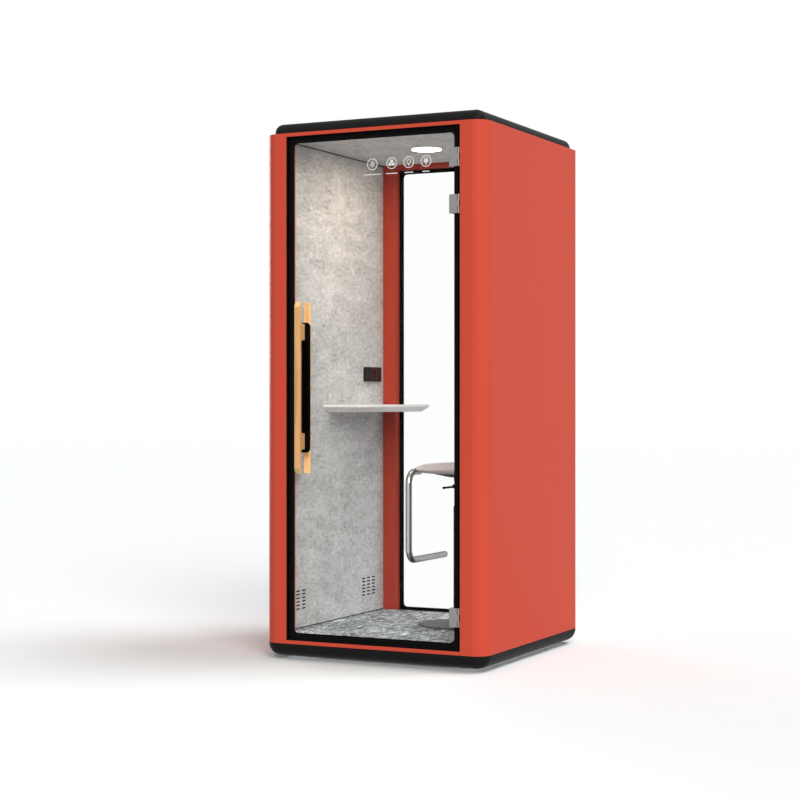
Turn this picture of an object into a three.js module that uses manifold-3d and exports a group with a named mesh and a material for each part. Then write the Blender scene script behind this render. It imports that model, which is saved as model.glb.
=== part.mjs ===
// Single-person acoustic office pod: a glazed cabin with a glass door, wall desk, light, fan and stool.
// Millimetres, +Z up. X runs along the front, +Y into the cabin. The pod stands on z = 0.

import * as THREE from 'three';
import { mergeVertices } from 'three/addons/utils/BufferGeometryUtils.js';
import Module from 'manifold-3d';

const wasm = await Module();
wasm.setup();

// Outer size
const WIDTH = 1000;
const DEPTH = 1050;
const CORNER = 64;
const FOOT_GAP = 14;
const PLINTH_H = 55;
const SHELL_H = 2102;
const CAP_H = 47;

// Base
const PLINTH_ROUND = 52;
const PLINTH_T = 4;
const PLINTH_LIP = 60;
const FRAME_INSET = 62;
const FRAME_BAR = 50;
const FRAME_Z = 14;
const CASSETTE_Z = 18;
const FOOT_BLOCK = 78;
const FOOT_INSET = 150;
const FOOT_PAD = { r: 24, round: 2, edge: 5, top: 7, hub: 3 };
const FOOT_STEM = { r: 6, top: 56 };
const FOOT_SIDES = 16;

// Wall build-up
const GAP = 0.3;
const CLEARANCE = 0.5;
const OVERCUT = 1;
const SKIN = 3;
const FELT = 9;
const WALL = 75;
const TOP_FLANGE = 33;
const CORNER_STEPS = 6;
const ROUND_STEPS = 5;

// Door opening and the black surround in it
const OPENING_HALF = 392;
const SILL_H = 14.7;
const HEADER_H = 14.6;
const GLASS_RECESS = 16;
const GLASS_T = 12;
const GLASS_HALF = 376;
const GLASS_GAP = 2.8;
const REBATE_SET = 4;
const CLEAR_HALF = 361;
const CLEAR_LOW = 115;
const CLEAR_HIGH = 2127.6;
const CLEAR_CORNER = 18;
const PRINT_T = 0.4;
const JAMB_LINER = 3;
const JAMB_FACE = 12.7;
const STOP_HALF = 370;
const STOP_T = 10;
const STOP_LOW = 104;
const STOP_HIGH = 2134;
const SEAL_T = 2.4;
const SEAL_OVER = 2.2;
const SEAL_SETBACK = 1;

// Cabin
const FLOOR_Z = 110.7;
const CARPET_T = 6.4;
const CEILING_Z = 2149.2;
const CEILING_T = 8.8;
const DECK_T = 6;
const BACK_FRAME_Y = 429;
const BACK_GLASS_Y = 472;
const BACK_GLASS_HALF = 386;
const BACK_GLASS_Z = [90, 2150];
const BACK_CLEAR_HALF = 361.5;
const BACK_CLEAR_HIGH = 2128.5;
const BACK_CLEAR_LOW = 108;

// Hinges, by their lower ends
const HINGE_H = 75;
const HINGE_Z = { lower: 178, middle: 1808, upper: 1993 };
const PIVOT_X = 381;
const PIVOT_PROUD = 4;
const HINGE_PROUD = 8;
const PIN_R = 2;
const KNUCKLE_R = 4;
const CLAMP_X = [342, 376.4];
const CLAMP_BOLT_X = 352;
const CLAMP_BOLT_R = 6;
const CLAMP_BOLT_END = 18;
const CLAMP_PLATE_GAP = 3;
const LEAF_PROUD = 3;
const KNUCKLE_MARGIN = 25;
const KNUCKLE_CLEAR = 1.4;

// Pull handles
const HANDLE_X = [-339.5, -312.5];
const HANDLE_Z = [771, 1475];
const HANDLE_BAR_T = 16;
const HANDLE_STAND = 44;
const HANDLE_CUT = 22;
const HANDLE_FOOT_Z = [[870, 936], [1318, 1384]];
const HANDLE_FILLET = 10;
const HANDLE_CROWN = 9;
const HANDLE_DOWEL_R = 6;
const HANDLE_DOWEL_DEEP = 16;
const PATCH_X = -286;
const PATCH_Z = [857, 1390];

// Desk
const DESK_X = { front: -242, back: -190 };
const DESK_Y = -145.4;
const DESK_Z = [1020, 1052];
const DESK_UNDERCUT = 38;
const DESK_LAND = 10;
const DESK_CORNER = 20;
const DESK_ROUND = 2;
const SUPPORT_Y = { front: -60, rear: 340 };
const SUPPORT_ROD_R = 7;
const SUPPORT_ROD_END = -300;
const SUPPORT_PLATE = { thick: 11, wide: 60, high: 80 };

// Power panel on the left felt
const PANEL_Y = [231.5, 393.5];
const PANEL_Z = [1157, 1221.5];
const PANEL_T = 9;
const PANEL_RIM = 5;
const PANEL_ROUND = 4;
const PANEL_LAP = 4;
const PANEL_POCKET = 22;
const SWITCH_Y = [237, 281];
const SOCKET_Y = [287, 388];
const SOCKET_PINS = [[310, 0], [326, 0], [352, 9], [346, -8], [358, -8]];
const SOCKET_SLOT = { wide: 2.6, high: 7, deep: 8 };
const ROCKER_TILT = 5;
const ROCKER = { back: 3, proud: 6, pivot: 1.5, clear: 1 };

// Vent slots in the left felt
const SLOT = { long: 33, high: 6.5, pitchY: 48, pitchZ: 15, columns: 3, rows: 6 };
const VENT_Z = 190;
const VENT_Y = { front: -429, rear: 218 };
const DUCT_DEPTH = 30;
const DUCT_MARGIN = 4;

// Light, fan and roof
const LIGHT_R = 73;
const LIGHT_FLANGE = { wide: 6, high: 1.5, round: 0.5 };
const LIGHT_CUP = { deep: 19, thick: 2 };
const LIGHT_SIDES = 36;
const DIFFUSER_T = 3;
const DRIVER = { x: [-230, -120], y: [-150, -110], high: 24 };
const FAN_Y = 180;
const FAN_SIZE = 120;
const FAN_T = 25;
const FAN_BLADES = 7;
const FAN_BLADE = { thick: 2, high: 20, pitch: 0.85, root: 4, lift: 2 };
const FAN_RIM = 4;
const FAN_TIP = 8;
const FAN_HUB_R = 20;
const FAN_MOTOR_T = 4;
const FAN_STRUT = { wide: 6, high: 3, lap: 2 };
const CAP_INSET = 25;
const CAP_ROUND = 38;
const CAP_T = 3;
const CAP_SLOT = { count: 7, pitch: 15, long: 104, wide: 6 };
const DECK_GAP = 8;
const INLET = { x: -340, y: 410, long: 48, wide: 28, deep: 24 };
const INLET_FLANGE = { lap: 4, thick: 2 };
const INLET_RECESS = { long: 26, wide: 18, deep: 16 };

// Stool
const STOOL_X = 127.5;
const STOOL_Y = 58;
const STOOL_BASE_R = 173;
const STOOL_BASE_T = 5;
const STOOL_BASE_ROUND = 3;
const STOOL_SIDES = 32;
const COLUMN_R = 25;
const COLUMN_TOP = 620;
const COLUMN_FOOT = { wide: 12, high: 13 };
const COLUMN_ROUND = 3;
const COLUMN_BORE_LOW = 330;
const PISTON_R = 14;
const PISTON_LOW = 420;
const PISTON_TIP = { wide: 2, high: 8 };
const MECHANISM_Z = 746;
const SEAT_PLATE = { x: 92, y: 76, edge: 2, low: 34 };
const COLLAR = { r: 19, flare: 5, low: 688 };
const CHEEK = { offset: 8, thick: 4, reach: 50, inset: 14, below: 7, above: 9 };
const SEAT_HALF = { x: 178, y: 185 };
const SEAT_TOP = 802;
const SEAT_RIM_Z = 776;
const SEAT_SQUARENESS = 2 / 3;
const SEAT_SIDES = 36;
const SEAT_RINGS = 12;
const SEAT_FULLNESS = 0.45;
const SEAT_POLE = 0.04;
const CUSHION_LOW = 759;
const TUBE_R = 14;
const TUBE_X = -23;
const TUBE_Y = [-128, 244];
const TUBE_Z = [394, 767];
const TUBE_BEND = 52;
const TUBE_IN_SEAT = 56;
const TUBE_SIDES = 14;
const TUBE_STEPS = 64;
const QUARTER_TURN = 0.5523;
const LEVER_Z = 703.5;
const LEVER = { r: 4.4, long: 154, pivot: 40, eyeR: 5.5, eyeLong: 10 };
const LEVER_KNOB = { r: 5.2, stretch: 2.2, out: 154.5 };

// Levels and planes that follow from the sizes above
const shellZ = FOOT_GAP + PLINTH_H;
const shellTop = shellZ + SHELL_H;
const capTop = shellTop + CAP_H;
const sillTop = shellZ + SILL_H;
const headerZ = shellTop - HEADER_H;
const frontY = -DEPTH / 2;
const backY = DEPTH / 2;
const glassY = frontY + GLASS_RECESS;
const glassBack = glassY + GLASS_T;
const printY = glassY - GAP - PRINT_T;
const stopY = glassBack + SEAL_T + 2 * GAP;
const cabinFront = stopY + STOP_T + GAP;
const cabinBack = BACK_FRAME_Y - GAP;
const feltX = WIDTH / 2 - WALL;
const coreX = feltX + FELT + GAP;
const pivotY = glassY - PIVOT_PROUD;
const handleFace = printY - GAP;
const deckZ = shellTop + GAP;
const deckTop = deckZ + DECK_T;

// The origin lies under the middle of the whole pod, outer handle included.
const handleReach = frontY - (handleFace - HANDLE_STAND);
const pod = new THREE.Group();
pod.position.y = handleReach / 2;

// Finishes
function finish(color, roughness, metalness = 0) {
  return () => new THREE.MeshStandardMaterial({ color, roughness, metalness });
}

const orangePaint = finish(0xd2503f, 0.45);
const orangeLacquer = finish(0xd2503f, 0.5);
const blackPlastic = finish(0x232324, 0.5);
const blackAluminium = finish(0x101011, 0.4, 0.5);
const greyFelt = finish(0xbeb9b4, 0.95);
const carpetPile = finish(0x8f9294, 1);
const insulation = finish(0xb9a98c, 0.9);
const plywood = finish(0xc9a877, 0.8);
const steel = finish(0x8a8d90, 0.5, 0.9);
const millAluminium = finish(0xa9acae, 0.45, 0.9);
const satinSteel = finish(0x9c9c9a, 0.35, 0.9);
const chrome = finish(0xd8d8d6, 0.12, 1);
const clearGlass = () => new THREE.MeshStandardMaterial({
  color: 0xe8f0ee, roughness: 0.05, transparent: true, opacity: 0.25,
});
const blackPrint = finish(0x050505, 0.15);
const rubber = finish(0x151515, 0.8);
const paleWood = finish(0xe3b47a, 0.5);
const whiteTop = finish(0xeeecea, 0.4);
const whiteTrim = finish(0xf4f4f2, 0.5);
const diffuserWhite = finish(0xffffff, 0.6);
const switchBlack = finish(0x1b1a18, 0.4);
const socketBrown = finish(0x3a2320, 0.4);
const taupeFabric = finish(0xb3a8a0, 0.95);
const darkPlate = finish(0x4a4a4c, 0.5, 0.4);

function add(name, geometry, makeMaterial) {
  const mesh = new THREE.Mesh(geometry, makeMaterial());
  mesh.name = name;
  pod.add(mesh);
  return mesh;
}

// Solids for joining and cutting
function bare(geometry) {
  const copy = geometry.clone();
  copy.deleteAttribute('normal');
  copy.deleteAttribute('uv');
  return mergeVertices(copy, 1e-4);
}

function solid(geometry) {
  const merged = bare(geometry);
  return new wasm.Manifold(new wasm.Mesh({
    numProp: 3,
    vertProperties: new Float32Array(merged.attributes.position.array),
    triVerts: new Uint32Array(merged.index.array),
  }));
}

function shaped(manifold) {
  const mesh = manifold.getMesh();
  const geometry = new THREE.BufferGeometry();
  geometry.setAttribute('position', new THREE.BufferAttribute(mesh.vertProperties, 3));
  geometry.setIndex(new THREE.BufferAttribute(mesh.triVerts, 1));
  const flat = geometry.toNonIndexed();
  flat.computeVertexNormals();
  return flat;
}

function join(...geometries) {
  return shaped(geometries.map(solid).reduce((sum, next) => sum.add(next)));
}

function cut(geometry, ...tools) {
  return shaped(tools.map(solid).reduce((rest, tool) => rest.subtract(tool), solid(geometry)));
}

function common(first, second) {
  return shaped(solid(first).intersect(solid(second)));
}

// Basic shapes placed by their limits
function box([x0, x1], [y0, y1], [z0, z1]) {
  const geometry = new THREE.BoxGeometry(x1 - x0, y1 - y0, z1 - z0);
  return geometry.translate((x0 + x1) / 2, (y0 + y1) / 2, (z0 + z1) / 2);
}

function rod(x, y, [z0, z1], radius, sides = 24) {
  const geometry = new THREE.CylinderGeometry(radius, radius, z1 - z0, sides);
  return geometry.rotateX(Math.PI / 2).translate(x, y, (z0 + z1) / 2);
}

function rodAlongY(x, z, [y0, y1], radius, sides = 16) {
  return new THREE.CylinderGeometry(radius, radius, y1 - y0, sides).translate(x, (y0 + y1) / 2, z);
}

function rodAlongX(y, z, [x0, x1], radius, sides = 16) {
  const geometry = new THREE.CylinderGeometry(radius, radius, x1 - x0, sides);
  return geometry.rotateZ(Math.PI / 2).translate((x0 + x1) / 2, y, z);
}

function turned(x, y, profile, sides = 40) {
  const points = profile.map(([r, z]) => new THREE.Vector2(r, z));
  return new THREE.LatheGeometry(points, sides).rotateX(Math.PI / 2).translate(x, y, 0);
}

const upwards = new THREE.Vector3(0, 0, 1);
const rightwards = new THREE.Vector3(1, 0, 0);
const inwards = new THREE.Vector3(0, 1, 0);

function prism(shape, depth, curveSegments) {
  return new THREE.ExtrudeGeometry(shape, { depth, bevelEnabled: false, curveSegments });
}

function extrudeUp(shape, [z0, z1], curveSegments = 6) {
  const geometry = prism(shape, z1 - z0, curveSegments);
  return geometry.translate(0, 0, z0);
}

// A shape drawn in Y and Z, pushed along X
function extrudeAcross(shape, [x0, x1], curveSegments = 6) {
  const geometry = prism(shape, x1 - x0, curveSegments);
  const turn = new THREE.Matrix4().makeBasis(inwards, upwards, rightwards);
  return geometry.applyMatrix4(turn).translate(x0, 0, 0);
}

// A shape drawn in X and Z, pushed along Y
function extrudeInwards(shape, [y0, y1], curveSegments = 6) {
  const geometry = prism(shape, y1 - y0, curveSegments);
  const turn = new THREE.Matrix4().makeBasis(rightwards, upwards, inwards.clone().negate());
  return geometry.applyMatrix4(turn).translate(0, y1, 0);
}

function mirrored(geometry) {
  const copy = bare(geometry).scale(-1, 1, 1);
  const order = copy.index.array;
  for (let i = 0; i < order.length; i += 3) {
    [order[i], order[i + 1]] = [order[i + 1], order[i]];
  }
  const flat = copy.toNonIndexed();
  flat.computeVertexNormals();
  return flat;
}

function rectangle(Kind, [x0, x1], [y0, y1]) {
  const outline = new Kind();
  outline.moveTo(x0, y0).lineTo(x1, y0).lineTo(x1, y1).lineTo(x0, y1);
  outline.closePath();
  return outline;
}

function roundedRectangle(Kind, [x0, x1], [y0, y1], r) {
  const outline = new Kind();
  outline.moveTo(x0 + r, y0).lineTo(x1 - r, y0);
  outline.absarc(x1 - r, y0 + r, r, -Math.PI / 2, 0);
  outline.lineTo(x1, y1 - r);
  outline.absarc(x1 - r, y1 - r, r, 0, Math.PI / 2);
  outline.lineTo(x0 + r, y1);
  outline.absarc(x0 + r, y1 - r, r, Math.PI / 2, Math.PI);
  outline.lineTo(x0, y0 + r);
  outline.absarc(x0 + r, y0 + r, r, Math.PI, 1.5 * Math.PI);
  outline.closePath();
  return outline;
}

function frameShape(outerX, outerZ, innerX, innerZ) {
  const shape = rectangle(THREE.Shape, outerX, outerZ);
  shape.holes.push(rectangle(THREE.Path, innerX, innerZ));
  return shape;
}

const both = (half) => [-half, half];

const around = (centre, size) => [centre - size / 2, centre + size / 2];

// Rings of the pod's rounded plan, drawn in from the outline, joined into a skin
function planRing(inset, z) {
  const r = Math.max(CORNER - inset, 0.5);
  const x = WIDTH / 2 - inset - r;
  const y = DEPTH / 2 - inset - r;
  const centres = [[x, y], [-x, y], [-x, -y], [x, -y]];
  return centres.flatMap(([cx, cy], corner) => Array.from({ length: CORNER_STEPS + 1 }, (_, step) => {
    const angle = (corner + step / CORNER_STEPS) * Math.PI / 2;
    return new THREE.Vector3(cx + r * Math.cos(angle), cy + r * Math.sin(angle), z);
  }));
}

function skinOf(rings, closed) {
  const count = rings[0].length;
  const points = rings.flat();
  const triangles = [];
  const last = closed ? rings.length : rings.length - 1;
  for (let ring = 0; ring < last; ring += 1) {
    const low = ring * count;
    const high = ((ring + 1) % rings.length) * count;
    for (let i = 0; i < count; i += 1) {
      const j = (i + 1) % count;
      triangles.push(low + i, low + j, high + j, low + i, high + j, high + i);
    }
  }
  if (!closed) {
    const top = (rings.length - 1) * count;
    for (let i = 1; i < count - 1; i += 1) {
      triangles.push(0, i + 1, i, top, top + i, top + i + 1);
    }
  }
  const geometry = new THREE.BufferGeometry().setFromPoints(points);
  geometry.setIndex(triangles);
  return geometry;
}

function arcSteps(steps, from, to, point) {
  return Array.from({ length: steps + 1 }, (_, step) => point(from + (to - from) * step / steps));
}

// Base: plinth skirt, steel frame, feet, floor
function basePlinth() {
  const centreZ = FOOT_GAP + PLINTH_ROUND;
  const sweep = (radius) => (angle) => [
    PLINTH_ROUND - radius * Math.cos(angle), centreZ - radius * Math.sin(angle),
  ];
  const outer = arcSteps(ROUND_STEPS, 0, Math.PI / 2, sweep(PLINTH_ROUND));
  const inner = arcSteps(ROUND_STEPS, Math.PI / 2, 0, sweep(PLINTH_ROUND - PLINTH_T));
  const profile = [
    [0, shellZ - GAP],
    ...outer,
    [PLINTH_LIP, FOOT_GAP],
    [PLINTH_LIP, FOOT_GAP + PLINTH_T],
    ...inner,
    [PLINTH_T, shellZ - GAP],
  ];
  return skinOf(profile.map(([inset, z]) => planRing(inset, z)).reverse(), true);
}

function footCentres() {
  const x = WIDTH / 2 - FOOT_INSET;
  const y = DEPTH / 2 - FOOT_INSET;
  return { front_left: [-x, -y], front_right: [x, -y], back_left: [-x, y], back_right: [x, y] };
}

// Blocks in the corners of the base frame, which take the feet
function cornerBlocks(size, height) {
  return Object.values(footCentres()).map(([x, y]) => box(around(x, size), around(y, size), height));
}

function baseFrame() {
  const outerX = WIDTH / 2 - FRAME_INSET;
  const outerY = DEPTH / 2 - FRAME_INSET;
  const height = [FRAME_Z, shellZ - GAP];
  const shape = frameShape(both(outerX), both(outerY), both(outerX - FRAME_BAR), both(outerY - FRAME_BAR));
  const bores = Object.values(footCentres()).map(([x, y]) => (
    rod(x, y, [0, shellZ], FOOT_STEM.r + CLEARANCE, FOOT_SIDES)));
  return cut(join(extrudeUp(shape, height), ...cornerBlocks(FOOT_BLOCK, height)), ...bores);
}

function levellingFoot([x, y]) {
  const { r, round, edge, top, hub } = FOOT_PAD;
  const stem = FOOT_STEM;
  return turned(x, y, [
    [0, 0], [r - round, 0], [r, round], [r, edge], [stem.r + hub, top],
    [stem.r, top], [stem.r, stem.top], [0, stem.top],
  ], FOOT_SIDES);
}

function floorCassette() {
  const rim = FRAME_INSET + FRAME_BAR + CLEARANCE;
  const board = box(both(coreX - GAP), [cabinFront, cabinBack], [shellZ, FLOOR_Z - CARPET_T - GAP]);
  const fill = box(both(WIDTH / 2 - rim), both(DEPTH / 2 - rim), [CASSETTE_Z, shellZ + OVERCUT]);
  return join(board, cut(fill, ...cornerBlocks(FOOT_BLOCK + 2 * CLEARANCE, [0, shellZ])));
}

function floorCarpet() {
  return box(both(feltX - GAP), [cabinFront, cabinBack], [FLOOR_Z - CARPET_T, FLOOR_Z]);
}

add('base_plinth', basePlinth(), blackPlastic);
add('base_frame', baseFrame(), millAluminium);
for (const [place, centre] of Object.entries(footCentres())) {
  add(`levelling_foot_${place}`, levellingFoot(centre), rubber);
}
add('floor_cassette', floorCassette(), plywood);
add('floor_carpet', floorCarpet(), carpetPile);

// Walls: orange shells round the insulated cores, felt on the cabin side
function wrapShape(outerInset, innerInset) {
  const bend = (inset, cy, from, to) => arcSteps(CORNER_STEPS, from, to, (angle) => {
    const r = CORNER - inset;
    return [-(WIDTH / 2 - CORNER) + r * Math.cos(angle), cy + r * Math.sin(angle)];
  });
  const cy = DEPTH / 2 - CORNER;
  const side = (inset) => [
    [-OPENING_HALF, frontY + inset],
    ...bend(inset, -cy, -Math.PI / 2, -Math.PI),
    ...bend(inset, cy, Math.PI, Math.PI / 2),
    [-OPENING_HALF, backY - inset],
  ];
  const outline = [...side(outerInset), ...side(innerInset).reverse()];
  return new THREE.Shape(outline.map(([x, y]) => new THREE.Vector2(x, y)));
}

function leftShell() {
  const skin = extrudeUp(wrapShape(0, SKIN), [shellZ, shellTop]);
  const flange = extrudeUp(wrapShape(0, TOP_FLANGE), [shellTop - SKIN, shellTop]);
  return join(skin, flange);
}

function corePlain() {
  const inset = SKIN + GAP;
  const cy = DEPTH / 2 - CORNER;
  const r = CORNER - inset;
  const bend = (y, from, to) => arcSteps(CORNER_STEPS, from, to, (angle) => [
    -(WIDTH / 2 - CORNER) + r * Math.cos(angle), y + r * Math.sin(angle),
  ]);
  const frontFace = stopY - GAP;
  const backFace = BACK_GLASS_Y - GAP;
  const outline = [
    [-OPENING_HALF, frontY + inset],
    ...bend(-cy, -Math.PI / 2, -Math.PI),
    ...bend(cy, Math.PI, Math.PI / 2),
    [-OPENING_HALF, backY - inset],
    [-OPENING_HALF, backFace],
    [-coreX, backFace],
    [-coreX, frontFace],
    [-OPENING_HALF, frontFace],
  ];
  const shape = new THREE.Shape(outline.map(([x, y]) => new THREE.Vector2(x, y)));
  return extrudeUp(shape, [shellZ, shellTop - SKIN - GAP]);
}

function ventSpan(start) {
  return [start, start + SLOT.pitchY * (SLOT.columns - 1) + SLOT.long];
}

const deskMid = (DESK_Z[0] + DESK_Z[1]) / 2;
const panelHoleY = [PANEL_Y[0] + PANEL_LAP, PANEL_Y[1] - PANEL_LAP];
const panelHoleZ = [PANEL_Z[0] + PANEL_LAP, PANEL_Z[1] - PANEL_LAP];

function leftCore() {
  const ducts = Object.values(VENT_Y).map((start) => {
    const [y0, y1] = ventSpan(start);
    const inside = [-coreX - DUCT_DEPTH, -coreX + OVERCUT];
    return box(inside, [y0 - DUCT_MARGIN, y1 + DUCT_MARGIN], [VENT_Z - DUCT_MARGIN, shellTop]);
  });
  const panelPocket = box([-coreX - PANEL_POCKET, -coreX + OVERCUT], panelHoleY, panelHoleZ);
  const supportPockets = Object.values(SUPPORT_Y).map((y) => box(
    [-coreX - SUPPORT_PLATE.thick - CLEARANCE, -coreX + OVERCUT],
    around(y, SUPPORT_PLATE.wide + 2 * CLEARANCE),
    around(deskMid, SUPPORT_PLATE.high + 2 * CLEARANCE),
  ));
  return cut(corePlain(), ...ducts, panelPocket, ...supportPockets);
}

function supportHoles(span) {
  const radius = SUPPORT_ROD_R + CLEARANCE;
  return Object.values(SUPPORT_Y).map((y) => rodAlongX(y, deskMid, span, radius));
}

function slotShape(y, z) {
  const r = SLOT.high / 2;
  const shape = new THREE.Shape();
  shape.moveTo(y + r, z).lineTo(y + SLOT.long - r, z);
  shape.absarc(y + SLOT.long - r, z + r, r, -Math.PI / 2, Math.PI / 2);
  shape.lineTo(y + r, z + SLOT.high);
  shape.absarc(y + r, z + r, r, Math.PI / 2, 1.5 * Math.PI);
  return shape;
}

const feltZ = [FLOOR_Z - CARPET_T, CEILING_Z - GAP];
const rightFeltX = [feltX, feltX + FELT];

function leftFelt() {
  const through = [-feltX - FELT - OVERCUT, -feltX + OVERCUT];
  const slotCount = SLOT.columns * SLOT.rows;
  const slotGroup = (start) => Array.from({ length: slotCount }, (_, i) => {
    const y = start + (i % SLOT.columns) * SLOT.pitchY;
    const z = VENT_Z + Math.floor(i / SLOT.columns) * SLOT.pitchZ;
    return extrudeAcross(slotShape(y, z), through, 2);
  });
  const slots = Object.values(VENT_Y).flatMap(slotGroup);
  const panelHole = box(through, panelHoleY, panelHoleZ);
  const rodHoles = supportHoles(through);
  const panel = box([-feltX - FELT, -feltX], [cabinFront, cabinBack], feltZ);
  return cut(panel, ...slots, panelHole, ...rodHoles);
}

add('left_shell', leftShell(), orangePaint);
add('right_shell', mirrored(leftShell()), orangePaint);
add('left_core', leftCore(), insulation);
add('right_core', mirrored(corePlain()), insulation);
add('left_felt', leftFelt(), greyFelt);
add('right_felt', box(rightFeltX, [cabinFront, cabinBack], feltZ), greyFelt);

// Orange strips that close the front and the back above and below the glass
const stripX = both(OPENING_HALF - GAP);
const frontStripY = [frontY, stopY - GAP];
const backStripY = [BACK_GLASS_Y + GLASS_T + GAP, backY];
add('front_header', box(stripX, frontStripY, [headerZ, shellTop]), orangeLacquer);
add('front_sill', box(stripX, frontStripY, [shellZ, sillTop]), orangeLacquer);
add('back_header', box(stripX, backStripY, [headerZ, shellTop]), orangeLacquer);
add('back_sill', box(stripX, backStripY, [shellZ, sillTop]), orangeLacquer);

// Orange frame that the door closes on, black lining of the opening, door seal
const innerFrameX = both(coreX - GAP);
const innerFrameZ = [shellZ + GAP, CEILING_Z + CEILING_T];
const glassInset = GAP + JAMB_FACE + GLASS_GAP;
const glassZ = [sillTop + glassInset, headerZ - glassInset];

function frontInnerFrame() {
  const shape = frameShape(innerFrameX, innerFrameZ, both(STOP_HALF), [STOP_LOW, STOP_HIGH]);
  return extrudeInwards(shape, [stopY, stopY + STOP_T]);
}

function doorJamb() {
  const half = OPENING_HALF - GAP;
  const z = [sillTop + GAP, headerZ - GAP];
  const ring = (width, y) => extrudeInwards(
    frameShape(both(half), z, both(half - width), [z[0] + width, z[1] - width]),
    y,
  );
  const liner = ring(JAMB_LINER, [frontY + SKIN, stopY - GAP]);
  const rebate = ring(JAMB_FACE, [glassY + REBATE_SET, stopY - GAP]);
  return join(liner, rebate);
}

function doorSeal() {
  const shape = frameShape(
    both(GLASS_HALF + SEAL_OVER),
    [glassZ[0] - SEAL_OVER, glassZ[1] + SEAL_OVER],
    both(STOP_HALF + SEAL_SETBACK),
    [STOP_LOW + SEAL_SETBACK, STOP_HIGH - SEAL_SETBACK],
  );
  return extrudeInwards(shape, [glassBack + GAP, glassBack + GAP + SEAL_T]);
}

add('front_inner_frame', frontInnerFrame(), orangeLacquer);
add('door_jamb', doorJamb(), blackAluminium);
add('door_seal', doorSeal(), rubber);

// Door leaf
const boltPair = (z) => [z + CLAMP_BOLT_END, z + HINGE_H - CLAMP_BOLT_END];
const hingeBolts = Object.values(HINGE_Z).flatMap(boltPair);
const handleMid = (HANDLE_X[0] + HANDLE_X[1]) / 2;
const dowelZ = HANDLE_FOOT_Z.map(([z0, z1]) => (z0 + z1) / 2);

function roundHole(x, z, radius) {
  return new THREE.Path().absarc(x, z, radius + CLEARANCE, 0, 2 * Math.PI);
}

function doorGlass() {
  const shape = rectangle(THREE.Shape, both(GLASS_HALF), glassZ);
  shape.holes.push(...hingeBolts.map((z) => roundHole(CLAMP_BOLT_X, z, CLAMP_BOLT_R)));
  shape.holes.push(...dowelZ.map((z) => roundHole(handleMid, z, HANDLE_DOWEL_R)));
  return extrudeInwards(shape, [glassY, glassBack]);
}

// The clear part of the glass: rounded corners, and a step round the patch behind the handle
function clearOutline() {
  const r = CLEAR_CORNER;
  const [x0, x1] = both(CLEAR_HALF);
  const [patchLow, patchHigh] = PATCH_Z;
  const outline = new THREE.Path();
  outline.moveTo(x0 + r, CLEAR_LOW).lineTo(x1 - r, CLEAR_LOW);
  outline.absarc(x1 - r, CLEAR_LOW + r, r, -Math.PI / 2, 0);
  outline.lineTo(x1, CLEAR_HIGH - r);
  outline.absarc(x1 - r, CLEAR_HIGH - r, r, 0, Math.PI / 2);
  outline.lineTo(x0 + r, CLEAR_HIGH);
  outline.absarc(x0 + r, CLEAR_HIGH - r, r, Math.PI / 2, Math.PI);
  outline.lineTo(x0, patchHigh).lineTo(PATCH_X - r, patchHigh);
  outline.absarc(PATCH_X - r, patchHigh - r, r, Math.PI / 2, 0, true);
  outline.lineTo(PATCH_X, patchLow + r);
  outline.absarc(PATCH_X - r, patchLow + r, r, 0, -Math.PI / 2, true);
  outline.lineTo(x0, patchLow).lineTo(x0, CLEAR_LOW + r);
  outline.absarc(x0 + r, CLEAR_LOW + r, r, Math.PI, 1.5 * Math.PI);
  return outline;
}

function doorBorder() {
  const shape = rectangle(THREE.Shape, both(GLASS_HALF - GAP), [glassZ[0] + GAP, glassZ[1] - GAP]);
  shape.holes.push(clearOutline());
  shape.holes.push(...dowelZ.map((z) => roundHole(handleMid, z, HANDLE_DOWEL_R)));
  return extrudeInwards(shape, [printY, printY + PRINT_T]);
}

// Handle seen from the side: a bar with sloped ends on two filleted feet.
// The outline starts at the glass side and is drawn for a handle that stands towards -Y.
function handleProfile(face, side) {
  const barBack = face + side * (HANDLE_STAND - HANDLE_BAR_T);
  const barFront = face + side * HANDLE_STAND;
  const [low, high] = HANDLE_Z;
  const r = HANDLE_FILLET;
  const points = [[barBack, high]];
  for (const [z0, z1] of [...HANDLE_FOOT_Z].reverse()) {
    const depthAt = (a) => barBack - side * r * (1 - Math.cos(a));
    points.push(...arcSteps(ROUND_STEPS, 0, Math.PI / 2, (a) => [depthAt(a), z1 + r - r * Math.sin(a)]));
    points.push([face, z1], [face, z0]);
    points.push(...arcSteps(ROUND_STEPS, Math.PI / 2, 0, (a) => [depthAt(a), z0 - r + r * Math.sin(a)]));
  }
  points.push([barBack, low], [barFront, low + HANDLE_CUT], [barFront, high - HANDLE_CUT]);
  return new THREE.Shape(points.map(([y, z]) => new THREE.Vector2(y, z)));
}

// Handle seen from above: straight sides and a crowned face
function handleSection(face, side) {
  const [x0, x1] = HANDLE_X;
  const half = (x1 - x0) / 2;
  const crownY = face + side * (HANDLE_STAND - HANDLE_CROWN);
  const crown = arcSteps(2 * CORNER_STEPS, 0, Math.PI, (a) => [
    handleMid + half * Math.cos(a), crownY + side * HANDLE_CROWN * Math.sin(a),
  ]);
  const points = [[x0, face - side], [x1, face - side], ...crown];
  return new THREE.Shape(points.map(([x, y]) => new THREE.Vector2(x, y)));
}

function handleBody(face, side) {
  const profile = extrudeAcross(handleProfile(face, side), HANDLE_X);
  const section = extrudeUp(handleSection(face, side), [HANDLE_Z[0] - OVERCUT, HANDLE_Z[1] + OVERCUT]);
  return common(profile, section);
}

const innerHandleFace = glassBack + GAP;

function outerHandle() {
  const dowelY = [handleFace - HANDLE_DOWEL_R, innerHandleFace + HANDLE_DOWEL_DEEP];
  const dowels = dowelZ.map((z) => rodAlongY(handleMid, z, dowelY, HANDLE_DOWEL_R));
  return join(handleBody(handleFace, -1), ...dowels);
}

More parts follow.
